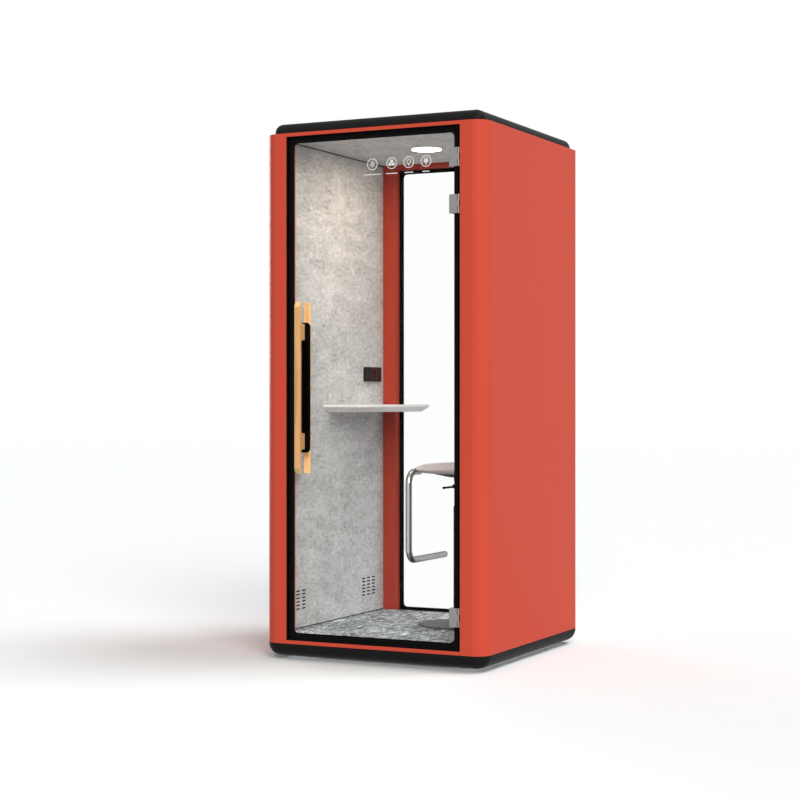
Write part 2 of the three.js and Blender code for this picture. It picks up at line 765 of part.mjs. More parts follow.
function innerHandle() {
  const socketY = [innerHandleFace - OVERCUT, innerHandleFace + HANDLE_DOWEL_DEEP + CLEARANCE];
  const sockets = dowelZ.map((z) => rodAlongY(handleMid, z, socketY, HANDLE_DOWEL_R + CLEARANCE));
  return cut(handleBody(innerHandleFace, 1), ...sockets);
}

add('door_glass', doorGlass(), clearGlass);
add('door_border', doorBorder(), blackPrint);
add('outer_handle', outerHandle(), paleWood);
add('inner_handle', innerHandle(), paleWood);

// Hinges: a leaf with the pin on the jamb, a clamp with the knuckle and a plate behind the glass
const hingeFront = glassY - HINGE_PROUD;
const clampBack = printY - GAP;
const leafX = [PIVOT_X, OPENING_HALF - JAMB_LINER - 2 * GAP];
const leafBack = glassY + REBATE_SET - GAP;

function hingeLeaf(z) {
  const span = [z, z + HINGE_H];
  const middle = [z + KNUCKLE_MARGIN, z + HINGE_H - KNUCKLE_MARGIN];
  const block = box(leafX, [pivotY - LEAF_PROUD, leafBack], span);
  const barrel = rod(PIVOT_X, pivotY, span, KNUCKLE_R);
  const reach = KNUCKLE_R + KNUCKLE_CLEAR;
  const window = box([CLAMP_X[1], PIVOT_X + reach], [hingeFront - OVERCUT, pivotY + reach], middle);
  const pin = rod(PIVOT_X, pivotY, span, PIN_R, 16);
  return join(cut(join(block, barrel), window), pin);
}

function hingeClamp(z) {
  const span = [z, z + HINGE_H];
  const knuckleZ = [z + KNUCKLE_MARGIN + CLEARANCE, z + HINGE_H - KNUCKLE_MARGIN - CLEARANCE];
  const plate = box(CLAMP_X, [hingeFront, clampBack], span);
  const tongue = box([CLAMP_X[1] - OVERCUT, PIVOT_X], [hingeFront, clampBack], knuckleZ);
  const knuckle = rod(PIVOT_X, pivotY, knuckleZ, KNUCKLE_R);
  const bore = rod(PIVOT_X, pivotY, span, PIN_R + GAP, 16);
  const boltY = [clampBack - OVERCUT, glassBack];
  const bolts = boltPair(z).map((boltZ) => rodAlongY(CLAMP_BOLT_X, boltZ, boltY, CLAMP_BOLT_R));
  return join(cut(join(plate, tongue, knuckle), bore), ...bolts);
}

function hingePlate(z) {
  const plateX = [CLAMP_X[0], STOP_HALF - CLAMP_PLATE_GAP];
  return box(plateX, [glassBack + GAP, glassBack + HINGE_PROUD], [z, z + HINGE_H]);
}

for (const [place, z] of Object.entries(HINGE_Z)) {
  add(`hinge_leaf_${place}`, hingeLeaf(z), satinSteel);
  add(`hinge_clamp_${place}`, hingeClamp(z), satinSteel);
  add(`hinge_plate_${place}`, hingePlate(z), satinSteel);
}

// Back window
const backGlassY = [BACK_GLASS_Y, BACK_GLASS_Y + GLASS_T];

function backInnerFrame() {
  const clearZ = [BACK_CLEAR_LOW, BACK_CLEAR_HIGH];
  const shape = frameShape(innerFrameX, innerFrameZ, both(BACK_CLEAR_HALF), clearZ);
  return extrudeInwards(shape, [BACK_FRAME_Y, BACK_GLASS_Y - 2 * GAP]);
}

function backBead() {
  const half = OPENING_HALF - 2 * GAP;
  const z = [sillTop + GAP, headerZ - GAP];
  const face = half - CLEAR_HALF;
  const shape = frameShape(both(half), z, both(CLEAR_HALF), [z[0] + face, z[1] - face]);
  return extrudeInwards(shape, [BACK_GLASS_Y + GLASS_T + GAP, backY - GLASS_RECESS]);
}

add('back_inner_frame', backInnerFrame(), orangeLacquer);
add('back_glass', box(both(BACK_GLASS_HALF), backGlassY, BACK_GLASS_Z), clearGlass);
add('back_bead', backBead(), blackAluminium);

// Ceiling, light, roof deck, fan and cap
const lightNeck = LIGHT_R - LIGHT_FLANGE.wide;
const lightLow = CEILING_Z - GAP - LIGHT_FLANGE.high;

function ceilingPanel() {
  const shape = rectangle(THREE.Shape, both(coreX - GAP), [cabinFront, cabinBack]);
  shape.holes.push(roundHole(0, 0, lightNeck));
  return extrudeUp(shape, [CEILING_Z, CEILING_Z + CEILING_T], 16);
}

function lightHousing() {
  const { round } = LIGHT_FLANGE;
  const { deep, thick } = LIGHT_CUP;
  const flangeTop = CEILING_Z - GAP;
  const cupTop = CEILING_Z + deep;
  return turned(0, 0, [
    [0, cupTop], [0, cupTop - thick], [lightNeck - thick, cupTop - thick], [lightNeck - thick, lightLow],
    [LIGHT_R - round, lightLow], [LIGHT_R, lightLow + round], [LIGHT_R, flangeTop], [lightNeck, flangeTop],
    [lightNeck, cupTop], [0, cupTop],
  ], LIGHT_SIDES);
}

function lightDiffuser() {
  const r = lightNeck - LIGHT_CUP.thick - CLEARANCE;
  const low = lightLow + LIGHT_FLANGE.round;
  const high = low + DIFFUSER_T;
  return turned(0, 0, [[0, low], [r, low], [r, high], [0, high]], LIGHT_SIDES);
}

function roofDeck() {
  const inset = CAP_INSET + CAP_T + DECK_GAP;
  const plate = skinOf([planRing(inset, deckZ), planRing(inset, deckTop)], false);
  return cut(plate, rod(0, FAN_Y, [deckZ - OVERCUT, deckTop + OVERCUT], FAN_SIZE / 2 - FAN_RIM, 40));
}

const fanZ = [deckTop + GAP, deckTop + GAP + FAN_T];

function fanHousing() {
  const { wide, high, lap } = FAN_STRUT;
  const casing = box(both(FAN_SIZE / 2), around(FAN_Y, FAN_SIZE), fanZ);
  const bore = rod(0, FAN_Y, [fanZ[0] - OVERCUT, fanZ[1] + OVERCUT], FAN_SIZE / 2 - FAN_RIM, 40);
  const motor = rod(0, FAN_Y, [fanZ[0], fanZ[0] + FAN_MOTOR_T], FAN_HUB_R);
  const strutZ = [fanZ[0], fanZ[0] + high];
  const strutLong = FAN_SIZE - 2 * lap;
  const strut = box(both(strutLong / 2), around(FAN_Y, wide), strutZ);
  const crossStrut = box(both(wide / 2), around(FAN_Y, strutLong), strutZ);
  return join(cut(casing, bore), motor, strut, crossStrut);
}

function fanRotor() {
  const { thick, high, pitch, root, lift } = FAN_BLADE;
  const hub = rod(0, FAN_Y, [fanZ[0] + FAN_MOTOR_T + OVERCUT, fanZ[1] - OVERCUT], FAN_HUB_R);
  const tip = FAN_SIZE / 2 - FAN_TIP;
  const start = FAN_HUB_R - root;
  const midZ = (fanZ[0] + fanZ[1]) / 2 + lift;
  const blades = Array.from({ length: FAN_BLADES }, (_, i) => {
    const blade = new THREE.BoxGeometry(tip - start, thick, high);
    blade.rotateX(pitch).translate((tip + start) / 2, 0, 0);
    return blade.rotateZ(i * 2 * Math.PI / FAN_BLADES).translate(0, FAN_Y, midZ);
  });
  return join(hub, ...blades);
}

function capSolid(thinner) {
  const round = CAP_ROUND - thinner;
  const centreZ = capTop - CAP_ROUND;
  const profile = [
    [CAP_INSET + thinner, shellTop + GAP - (thinner ? OVERCUT : 0)],
    ...arcSteps(ROUND_STEPS, 0, Math.PI / 2, (a) => [
      CAP_INSET + CAP_ROUND - round * Math.cos(a), centreZ + round * Math.sin(a),
    ]),
  ];
  return skinOf(profile.map(([inset, z]) => planRing(inset, z)), false);
}

function roofCap() {
  const { count, pitch, long, wide } = CAP_SLOT;
  const topZ = [capTop - CAP_T - OVERCUT, capTop + OVERCUT];
  const ventSlots = Array.from({ length: count }, (_, i) => {
    const y = FAN_Y + (i - (count - 1) / 2) * pitch;
    return box(both(long / 2), around(y, wide), topZ);
  });
  const inletHole = box(
    around(INLET.x, INLET.long + 2 * CLEARANCE),
    around(INLET.y, INLET.wide + 2 * CLEARANCE),
    topZ,
  );
  return cut(capSolid(0), capSolid(CAP_T), ...ventSlots, inletHole);
}

function powerInlet() {
  const { x, y, long, wide, deep } = INLET;
  const { lap, thick } = INLET_FLANGE;
  const flangeLow = capTop + GAP;
  const flangeTop = flangeLow + thick;
  const body = box(around(x, long), around(y, wide), [capTop - deep, flangeTop - thick / 2]);
  const flange = box(around(x, long + 2 * lap), around(y, wide + 2 * lap), [flangeLow, flangeTop]);
  const recess = box(
    around(x, INLET_RECESS.long),
    around(y, INLET_RECESS.wide),
    [capTop - INLET_RECESS.deep, flangeTop + OVERCUT],
  );
  return cut(join(body, flange), recess);
}

function lightDriver() {
  return box(DRIVER.x, DRIVER.y, [deckTop + GAP, deckTop + GAP + DRIVER.high]);
}

add('ceiling_panel', ceilingPanel(), greyFelt);
add('light_housing', lightHousing(), whiteTrim);
add('light_diffuser', lightDiffuser(), diffuserWhite);
add('roof_deck', roofDeck(), plywood);
add('light_driver', lightDriver(), whiteTrim);
add('fan_housing', fanHousing(), blackPlastic);
add('fan_rotor', fanRotor(), blackPlastic);
add('roof_cap', roofCap(), blackPlastic);
add('power_inlet', powerInlet(), blackPlastic);

// Desk: a shelf that gets a little deeper towards the back; its two free edges are undercut
function deskRing(inset, z) {
  const x0 = -feltX + GAP;
  const y0 = DESK_Y + inset;
  const frontX = DESK_X.front - inset;
  const corner = arcSteps(ROUND_STEPS, -Math.PI / 2, 0, (a) => new THREE.Vector3(
    frontX - DESK_CORNER + DESK_CORNER * Math.cos(a), y0 + DESK_CORNER + DESK_CORNER * Math.sin(a), z,
  ));
  const ends = [[x0, y0], [DESK_X.back - inset, cabinBack], [x0, cabinBack]];
  const [start, far, wallEnd] = ends.map(([x, y]) => new THREE.Vector3(x, y, z));
  return [start, ...corner, far, wallEnd];
}

function deskTop() {
  const [low, high] = DESK_Z;
  const landLow = high - DESK_LAND;
  const profile = [
    [DESK_UNDERCUT, low],
    [DESK_ROUND, landLow - DESK_ROUND],
    [0, landLow],
    [0, high - DESK_ROUND],
    [DESK_ROUND, high],
  ];
  const slab = skinOf(profile.map(([inset, z]) => deskRing(inset, z)), false);
  const socketX = [-feltX - OVERCUT, SUPPORT_ROD_END + CLEARANCE];
  return cut(slab, ...supportHoles(socketX));
}

function deskSupport(y) {
  const { thick, wide, high } = SUPPORT_PLATE;
  const plate = box([-coreX - thick, -coreX - GAP], around(y, wide), around(deskMid, high));
  const bar = rodAlongX(y, deskMid, [-coreX - thick / 2, SUPPORT_ROD_END], SUPPORT_ROD_R);
  return join(plate, bar);
}

add('desk_top', deskTop(), whiteTop);
for (const [place, y] of Object.entries(SUPPORT_Y)) {
  add(`desk_support_${place}`, deskSupport(y), steel);
}

// Power panel: rim plate, moulded block with the socket face, two rockers
const panelFace = -feltX + GAP;
const fieldZ = [PANEL_Z[0] + PANEL_RIM, PANEL_Z[1] - PANEL_RIM];
const rockerZ = (fieldZ[0] + fieldZ[1]) / 2;

function powerPlate() {
  const plateX = [panelFace, panelFace + PANEL_T];
  const through = [panelFace - OVERCUT, panelFace + PANEL_T + OVERCUT];
  const plate = extrudeAcross(roundedRectangle(THREE.Shape, PANEL_Y, PANEL_Z, PANEL_ROUND), plateX);
  return cut(plate, box(through, SWITCH_Y, fieldZ), box(through, SOCKET_Y, fieldZ));
}

function powerBlock() {
  const { wide, high, deep } = SOCKET_SLOT;
  const faceX = panelFace + PANEL_T - GAP;
  const baseX = -feltX - FELT / 2;
  const back = box([-coreX - PANEL_POCKET + CLEARANCE, baseX], [SWITCH_Y[0], SOCKET_Y[1]], fieldZ);
  const face = box(
    [baseX - OVERCUT, faceX],
    [SOCKET_Y[0] + GAP, SOCKET_Y[1] - GAP],
    [fieldZ[0] + GAP, fieldZ[1] - GAP],
  );
  const pins = SOCKET_PINS.map(([y, dz]) => box(
    [faceX - 2 * deep, faceX + OVERCUT], around(y, wide), around(rockerZ + dz, high),
  ));
  return cut(join(back, face), ...pins);
}

// A rocker's two halves slope away from its middle; it rests with its upper half pressed in.
function rocker([y0, y1]) {
  const { back, proud, pivot, clear } = ROCKER;
  const half = (fieldZ[1] - fieldZ[0]) / 2 - clear;
  const tilt = THREE.MathUtils.degToRad(ROCKER_TILT);
  const rise = Math.tan(tilt) * half;
  const points = [[-back, -half], [proud, -half], [proud + rise, 0], [proud, half], [-back, half]];
  const side = new THREE.Shape(points.map(([x, z]) => new THREE.Vector2(x, z)));
  const geometry = extrudeInwards(side, [y0, y1]);
  return geometry.rotateY(-tilt).translate(-feltX + pivot, 0, rockerZ);
}

const switchMid = (SWITCH_Y[0] + SWITCH_Y[1]) / 2;
add('power_plate', powerPlate(), switchBlack);
add('power_block', powerBlock(), socketBrown);
add('light_switch', rocker([SWITCH_Y[0] + CLEARANCE, switchMid - CLEARANCE]), switchBlack);
add('fan_switch', rocker([switchMid + CLEARANCE, SWITCH_Y[1] - CLEARANCE]), switchBlack);

// Stool
const floorTop = FLOOR_Z + GAP;

function stoolBase() {
  const boreR = PISTON_R + GAP;
  const r = STOOL_BASE_ROUND;
  const top = floorTop + STOOL_BASE_T;
  const edge = arcSteps(3, 0, Math.PI / 2, (a) => [
    STOOL_BASE_R - r + r * Math.cos(a), top - r + r * Math.sin(a),
  ]);
  return turned(STOOL_X, STOOL_Y, [
    [0, floorTop], [STOOL_BASE_R, floorTop], ...edge,
    [COLUMN_R + COLUMN_FOOT.wide, top], [COLUMN_R, top + COLUMN_FOOT.high],
    [COLUMN_R, COLUMN_TOP - COLUMN_ROUND], [COLUMN_R - COLUMN_ROUND, COLUMN_TOP],
    [boreR, COLUMN_TOP], [boreR, COLUMN_BORE_LOW], [0, COLUMN_BORE_LOW],
  ], STOOL_SIDES);
}

function stoolPiston() {
  const top = MECHANISM_Z - GAP;
  return turned(STOOL_X, STOOL_Y, [
    [0, PISTON_LOW], [PISTON_R, PISTON_LOW], [PISTON_R, top - PISTON_TIP.high],
    [PISTON_R - PISTON_TIP.wide, top], [0, top],
  ], STOOL_SIDES);
}

// Mechanism: a pressed plate that thins out towards its rim, over a collar for the gas spring
function stoolMechanism() {
  const boreR = PISTON_R + GAP;
  const plateTop = CUSHION_LOW - GAP;
  const plateRing = (x, y, z) => [[1, 1], [-1, 1], [-1, -1], [1, -1]].map(
    ([sx, sy]) => new THREE.Vector3(STOOL_X + sx * x, STOOL_Y + sy * y, z),
  );
  const plate = skinOf([
    plateRing(SEAT_PLATE.low, SEAT_PLATE.low, MECHANISM_Z),
    plateRing(SEAT_PLATE.x, SEAT_PLATE.y, plateTop - SEAT_PLATE.edge),
    plateRing(SEAT_PLATE.x, SEAT_PLATE.y, plateTop),
  ], false);
  const collar = turned(STOOL_X, STOOL_Y, [
    [0, COLLAR.low], [COLLAR.r, COLLAR.low], [COLLAR.r + COLLAR.flare, MECHANISM_Z + OVERCUT],
    [0, MECHANISM_Z + OVERCUT],
  ], STOOL_SIDES);
  const socket = rod(STOOL_X, STOOL_Y, [COLLAR.low - OVERCUT, MECHANISM_Z], boreR, STOOL_SIDES);
  const cheekY = [STOOL_Y - CHEEK.reach, STOOL_Y - CHEEK.inset];
  const cheekZ = [LEVER_Z - CHEEK.below, LEVER_Z + CHEEK.above];
  const cheek = (side) => box(around(STOOL_X + side * CHEEK.offset, CHEEK.thick), cheekY, cheekZ);
  return cut(join(plate, collar, cheek(-1), cheek(1)), socket);
}

function stoolLever() {
  const { r, long, pivot, eyeR, eyeLong } = LEVER;
  const knobY = STOOL_Y - LEVER_KNOB.out;
  const shaft = rodAlongY(STOOL_X, LEVER_Z, [STOOL_Y - long, STOOL_Y - pivot], r);
  const eye = rodAlongX(STOOL_Y - pivot, LEVER_Z, around(STOOL_X, eyeLong), eyeR);
  const knob = new THREE.SphereGeometry(LEVER_KNOB.r, 16, 10).scale(1, LEVER_KNOB.stretch, 1);
  return join(shaft, eye, knob.translate(STOOL_X, knobY, LEVER_Z));
}

// C-shaped tube: foot bar, upright and a top leg let into the corner of the seat
function tubeGeometry(radius, extra = 0) {
  const [y0, y1] = TUBE_Y;
  const [low, high] = TUBE_Z;
  const r = TUBE_BEND;
  const k = (1 - QUARTER_TURN) * r;
  const path = new THREE.CurvePath();
  const at = (y, z) => new THREE.Vector3(TUBE_X, y, z);
  const straight = (from, to) => path.add(new THREE.LineCurve3(from, to));
  const bend = (...points) => path.add(new THREE.CubicBezierCurve3(...points));
  straight(at(y1, low), at(y0 + r, low));
  bend(at(y0 + r, low), at(y0 + k, low), at(y0, low + k), at(y0, low + r));
  straight(at(y0, low + r), at(y0, high - r));
  bend(at(y0, high - r), at(y0, high - k), at(y0 + k, high), at(y0 + r, high));
  straight(at(y0 + r, high), at(y0 + r + TUBE_IN_SEAT + extra, high));
  const section = new THREE.Shape().absarc(0, 0, radius, 0, 2 * Math.PI);
  return new THREE.ExtrudeGeometry(section, {
    steps: TUBE_STEPS, extrudePath: path, bevelEnabled: false, curveSegments: TUBE_SIDES / 2,
  });
}

// Seat cushion: a rounded square plan, crowned on top, with full sides that draw in below
function seatCushion() {
  const rounded = (value, power) => Math.sign(value) * Math.abs(value) ** power;
  const ring = (swing) => {
    const reach = Math.max(Math.cos(swing) ** SEAT_FULLNESS, SEAT_POLE);
    const rise = Math.sin(swing) * (swing > 0 ? SEAT_TOP - SEAT_RIM_Z : SEAT_RIM_Z - CUSHION_LOW);
    return Array.from({ length: SEAT_SIDES }, (_, step) => {
      const angle = step * 2 * Math.PI / SEAT_SIDES;
      return new THREE.Vector3(
        STOOL_X + SEAT_HALF.x * reach * rounded(Math.cos(angle), SEAT_SQUARENESS),
        STOOL_Y + SEAT_HALF.y * reach * rounded(Math.sin(angle), SEAT_SQUARENESS),
        SEAT_RIM_Z + rise,
      );
    });
  };
  const rings = arcSteps(SEAT_RINGS, -Math.PI / 2, Math.PI / 2, ring);
  return cut(skinOf(rings, false), tubeGeometry(TUBE_R + CLEARANCE, OVERCUT));
}

add('stool_base', stoolBase(), darkPlate);
add('stool_piston', stoolPiston(), chrome);
add('stool_mechanism', stoolMechanism(), blackPlastic);
add('stool_lever', stoolLever(), blackPlastic);
add('stool_footrest', tubeGeometry(TUBE_R), chrome);
add('stool_cushion', seatCushion(), taupeFabric);

export default pod;
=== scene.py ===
import math
from contextlib import contextmanager

import bmesh
import bpy
from bpy.props import FloatProperty, FloatVectorProperty, PointerProperty
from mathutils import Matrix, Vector


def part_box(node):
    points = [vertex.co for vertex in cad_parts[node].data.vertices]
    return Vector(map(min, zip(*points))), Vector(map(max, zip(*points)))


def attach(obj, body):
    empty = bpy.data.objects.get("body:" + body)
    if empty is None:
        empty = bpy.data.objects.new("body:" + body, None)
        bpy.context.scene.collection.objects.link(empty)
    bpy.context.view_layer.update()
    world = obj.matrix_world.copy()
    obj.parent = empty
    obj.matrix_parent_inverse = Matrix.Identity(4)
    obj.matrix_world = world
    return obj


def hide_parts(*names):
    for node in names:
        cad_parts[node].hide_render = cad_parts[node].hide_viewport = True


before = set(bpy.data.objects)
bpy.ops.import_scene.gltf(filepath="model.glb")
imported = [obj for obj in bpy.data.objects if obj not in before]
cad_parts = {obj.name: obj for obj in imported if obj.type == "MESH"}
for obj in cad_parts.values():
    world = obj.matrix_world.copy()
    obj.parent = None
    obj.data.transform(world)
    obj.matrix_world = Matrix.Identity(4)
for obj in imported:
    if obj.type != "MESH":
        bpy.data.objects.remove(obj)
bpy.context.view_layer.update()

bl_info = {
    "name": "Acoustic office pod",
    "version": (1, 0, 0),
    "blender": (4, 5, 0),
    "location": "View3D > Sidebar > Pod",
    "description": "Builds the finer pieces and finishes of a glazed office pod around its packed parts",
    "category": "Object",
}


# Sizes and colours that a user would change

def length(name, default, description):
    return FloatProperty(name=name, description=description, default=default, min=0.0, unit="LENGTH", precision=5)


def colour(name, default, description):
    return FloatVectorProperty(name=name, description=description, default=default, subtype="COLOR",
                               size=3, min=0.0, max=1.0)


def amount(name, default, description):
    return FloatProperty(name=name, description=description, default=default, min=0.0)


class PodSizes(bpy.types.PropertyGroup):
    """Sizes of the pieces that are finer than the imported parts"""

    corner: length("Corner radius", 0.064, "Radius of the pod's four upright corners")
    plinth_round: length("Plinth rounding", 0.052, "Radius of the plinth's lower edge")
    cap_round: length("Cap rounding", 0.038, "Radius of the roof cap's upper edge")
    skin: length("Shell thickness", 0.003, "Thickness of the bent side shells and the cap")
    edge: length("Edge rounding", 0.0009, "Rounding of cut and folded edges")
    stop_half: length("Stop half width", 0.370, "Half the width of the opening in the frame that the door closes on")
    stop_low: length("Stop lower edge", 0.104, "Height of the lower edge of that opening")
    stop_high: length("Stop upper edge", 2.134, "Height of the upper edge of that opening")
    window_half: length("Window half width", 0.3615, "Half the width of the opening in the back frame")
    window_low: length("Window lower edge", 0.108, "Height of the lower edge of that opening")
    window_high: length("Window upper edge", 2.1285, "Height of the upper edge of that opening")
    print_half: length("Window print half width", 0.3392, "Half the width of the clear part of the back window")
    print_low: length("Window print lower edge", 0.1227, "Lower edge of the clear part of the back window")
    print_high: length("Window print upper edge", 2.1099, "Upper edge of the clear part of the back window")
    print_corner: length("Print corner radius", 0.018, "Corner radius of the clear part of the back window")
    desk_undercut: length("Desk undercut", 0.038, "How far the desk's lower edge is set back")
    desk_land: length("Desk land", 0.010, "Height of the upright part of the desk's edge")
    desk_corner: length("Desk corner radius", 0.020, "Radius of the desk's free corner")
    desk_taper: length("Desk taper", 0.052, "How much shallower the desk is at its front end")
    tube_bend: length("Tube bend radius", 0.052, "Radius of the two bends of the stool's tube")
    seat_swell: length("Seat swell", 0.003, "Most that the seat cover may swell over its foam")


class PodColours(bpy.types.PropertyGroup):
    """Colours of the finishes"""

    orange: colour("Orange", (0.71, 0.090, 0.052), "Powder coat of the shells")
    black: colour("Moulding black", (0.012, 0.012, 0.0125), "Plinth and roof cap")
    felt: colour("Felt", (0.448, 0.446, 0.446), "Wall and ceiling felt")
    carpet: colour("Carpet", (0.268, 0.288, 0.312), "Cabin floor")
    wood: colour("Handle wood", (0.83, 0.46, 0.19), "Pull handles")
    desk: colour("Desk top", (0.78, 0.77, 0.76), "White laminate")
    seat: colour("Seat cover", (0.508, 0.453, 0.452), "Taupe fabric")
    steel: colour("Satin steel", (0.28, 0.28, 0.28), "Hinges")
    tube: colour("Tube", (0.50, 0.495, 0.48), "Bright tube of the stool")
    glass: colour("Glass", (0.99, 1.0, 0.995), "Tint of the glass")


class PodStage(bpy.types.PropertyGroup):
    """Light and view"""

    lens: FloatProperty(name="Lens", description="Focal length in millimetres", default=80.19, min=1.0)
    turn: FloatProperty(name="View turn", description="Heading of the camera", default=math.radians(26.2218),
                        subtype="ANGLE")
    eye: FloatVectorProperty(name="Eye", description="Place of the camera", default=(3.27136, -6.88713, 1.07268),
                             subtype="TRANSLATION", size=3)
    ambient: amount("Ambient", 0.29, "Strength of the even light from all round")
    side_lamp: amount("Side lamp", 1.45, "Strength of the high soft lamp on the right")
    side_softness: FloatProperty(name="Side softness", description="How wide the side lamp looks from the pod",
                                 default=math.radians(28), subtype="ANGLE")
    front_lamp: amount("Front lamp", 2.35, "Strength of the large soft lamp at the front right")
    front_softness: FloatProperty(name="Front softness", description="How wide the front lamp looks from the pod",
                                  default=math.radians(38), subtype="ANGLE")
    rear_lamp: amount("Rear lamp", 1.15, "Strength of the low lamp behind the pod on the left")
    rear_softness: FloatProperty(name="Rear softness", description="How wide the rear lamp looks from the pod",
                                 default=math.radians(18), subtype="ANGLE")
    cabin_lamp: amount("Cabin lamp", 5.5, "Power of the ceiling light, in watts")
    window_lamp: amount("Window lamp", 0.85, "Power of the low daylight from the back window")
    paper: amount("Floor white", 0.92, "How much light the floor gives back where the camera sees it")
    bounce: amount("Floor bounce", 0.25, "How much light the floor gives back to the pod")


# Modelling by hand: pick in code, then extrude, inset, bevel and cut

TOUCH = 1e-5


def near(a, b, within=TOUCH):
    return abs(a - b) < within


def clear_selection():
    if bpy.context.object and bpy.context.object.mode != "OBJECT":
        bpy.ops.object.mode_set(mode="OBJECT")
    bpy.ops.object.select_all(action="DESELECT")


def take(piece):
    clear_selection()
    piece.select_set(True)
    bpy.context.view_layer.objects.active = piece


def named(name):
    piece = bpy.context.object
    piece.name = piece.data.name = name
    bpy.ops.object.transform_apply(location=True, rotation=True, scale=True)
    return piece


def block(name, low, high):
    clear_selection()
    low, high = Vector(low), Vector(high)
    bpy.ops.mesh.primitive_cube_add(size=1, location=(low + high) / 2, scale=high - low)
    return named(name)


TURN = {"X": (0, math.pi / 2, 0), "Y": (math.pi / 2, 0, 0), "Z": (0, 0, 0)}


def cylinder(name, centre, radius, tall, axis="Z", sides=64):
    clear_selection()
    bpy.ops.mesh.primitive_cylinder_add(vertices=sides, radius=radius, depth=tall, location=centre, rotation=TURN[axis])
    return named(name)


@contextmanager
def editing(piece, kind):
    take(piece)
    bpy.ops.object.mode_set(mode="EDIT")
    bpy.ops.mesh.select_mode(type=kind)
    yield
    bpy.ops.object.mode_set(mode="OBJECT")


def pick(piece, test):
    """Selects, in edit mode, the faces, edges or points that the test accepts."""
    bpy.ops.mesh.select_all(action="DESELECT")
    mesh = bmesh.from_edit_mesh(piece.data)
    points, edges, faces = bpy.context.tool_settings.mesh_select_mode
    for item in mesh.faces if faces else mesh.edges if edges else mesh.verts:
        item.select_set(bool(test(item)))
    mesh.select_flush_mode()
    bmesh.update_edit_mesh(piece.data)


def runs_along(edge, axis):
    direction = (edge.verts[1].co - edge.verts[0].co).normalized()
    return abs(direction["XYZ".index(axis)]) > 0.999


def ends_at(edge, axis, value):
    return all(near(v.co["XYZ".index(axis)], value) for v in edge.verts)


def faces_to(face, direction):
    return face.normal.dot(Vector(direction)) > 0.999


def round_edges(piece, test, radius, segments):
    with editing(piece, "EDGE"):
        pick(piece, test)
        bpy.ops.mesh.bevel(offset=radius, offset_type="OFFSET", segments=segments, affect="EDGES", clamp_overlap=True)


def push(offset):
    bpy.ops.mesh.extrude_region_move(TRANSFORM_OT_translate={"value": offset})


def shift(offset):
    bpy.ops.transform.translate(value=offset)


def finish_with(piece, kind, **settings):
    take(piece)
    modifier = piece.modifiers.new(kind.lower(), kind)
    for key, value in settings.items():
        setattr(modifier, key, value)
    bpy.ops.object.modifier_apply(modifier=modifier.name)


def soften(piece, width=0.0009, segments=2, angle=38):
    finish_with(piece, "BEVEL", width=width, segments=segments, limit_method="ANGLE",
                angle_limit=math.radians(angle), harden_normals=False)
    return smooth(piece)


def smooth(piece, angle=38):
    """Smooth shading in which large flat faces keep their own normal."""
    take(piece)
    bpy.ops.object.shade_smooth_by_angle(angle=math.radians(angle))
    finish_with(piece, "WEIGHTED_NORMAL", keep_sharp=True)
    return piece


def polish(pane):
    """Small flat arrises round a pane of glass."""
    finish_with(pane, "BEVEL", width=0.0012, segments=1, limit_method="ANGLE")


def carve(piece, *cutters, operation="DIFFERENCE"):
    for cutter in cutters:
        finish_with(piece, "BOOLEAN", object=cutter, operation=operation, solver="EXACT")
        bpy.data.objects.remove(cutter)
    return piece


def unite(piece, *others):
    return carve(piece, *others, operation="UNION")


def gather(piece, *others):
    take(piece)
    for other in others:
        other.select_set(True)
    bpy.ops.object.join()
    return piece


def copy_at(piece, name, offset):
    take(piece)
    bpy.ops.object.duplicate(linked=False)
    copy = bpy.context.object
    copy.location = offset
    return named(name)


def outward(piece):
    with editing(piece, "FACE"):
        bpy.ops.mesh.select_all(action="SELECT")
        bpy.ops.mesh.remove_doubles(threshold=TOUCH)
        bpy.ops.mesh.normals_make_consistent(inside=False)


def ring_frame(name, low, high, inner_low, inner_high, corner=0.0, segments=8):
    """A frame round an opening that runs through along Y, with rounded inner corners."""
    piece = block(name, low, high)
    through = 0.01
    hole = block("hole", (inner_low[0], low[1] - through, inner_low[1]), (inner_high[0], high[1] + through, inner_high[1]))
    if corner:
        round_edges(hole, lambda e: runs_along(e, "Y"), corner, segments)
    return carve(piece, hole)


def put_together(piece, body, slot, material, *nodes):
    piece.data.materials.clear()
    piece.data.materials.append(material)
    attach(piece, body)
    if nodes:
        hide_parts(*nodes)
    return piece


def paint_nodes(material, *nodes):
    for node in nodes:
        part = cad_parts[node]
        part.data.materials.clear()
        part.data.materials.append(material)


# Shader maths

class Value:
    """An output of a finish; arithmetic on it adds Math nodes."""

    def __init__(self, finish, socket):
        self.finish = finish
        self.socket = socket

    def maths(self, operation, *values):
        return self.finish.node("ShaderNodeMath", {"operation": operation}, *values)

    def __add__(self, other):
        return self.maths("ADD", self, other)

    def __sub__(self, other):
        return self.maths("SUBTRACT", self, other)

    def __rsub__(self, other):
        return self.maths("SUBTRACT", other, self)

    def __mul__(self, other):
        return self.maths("MULTIPLY", self, other)

    __radd__ = __add__
    __rmul__ = __mul__


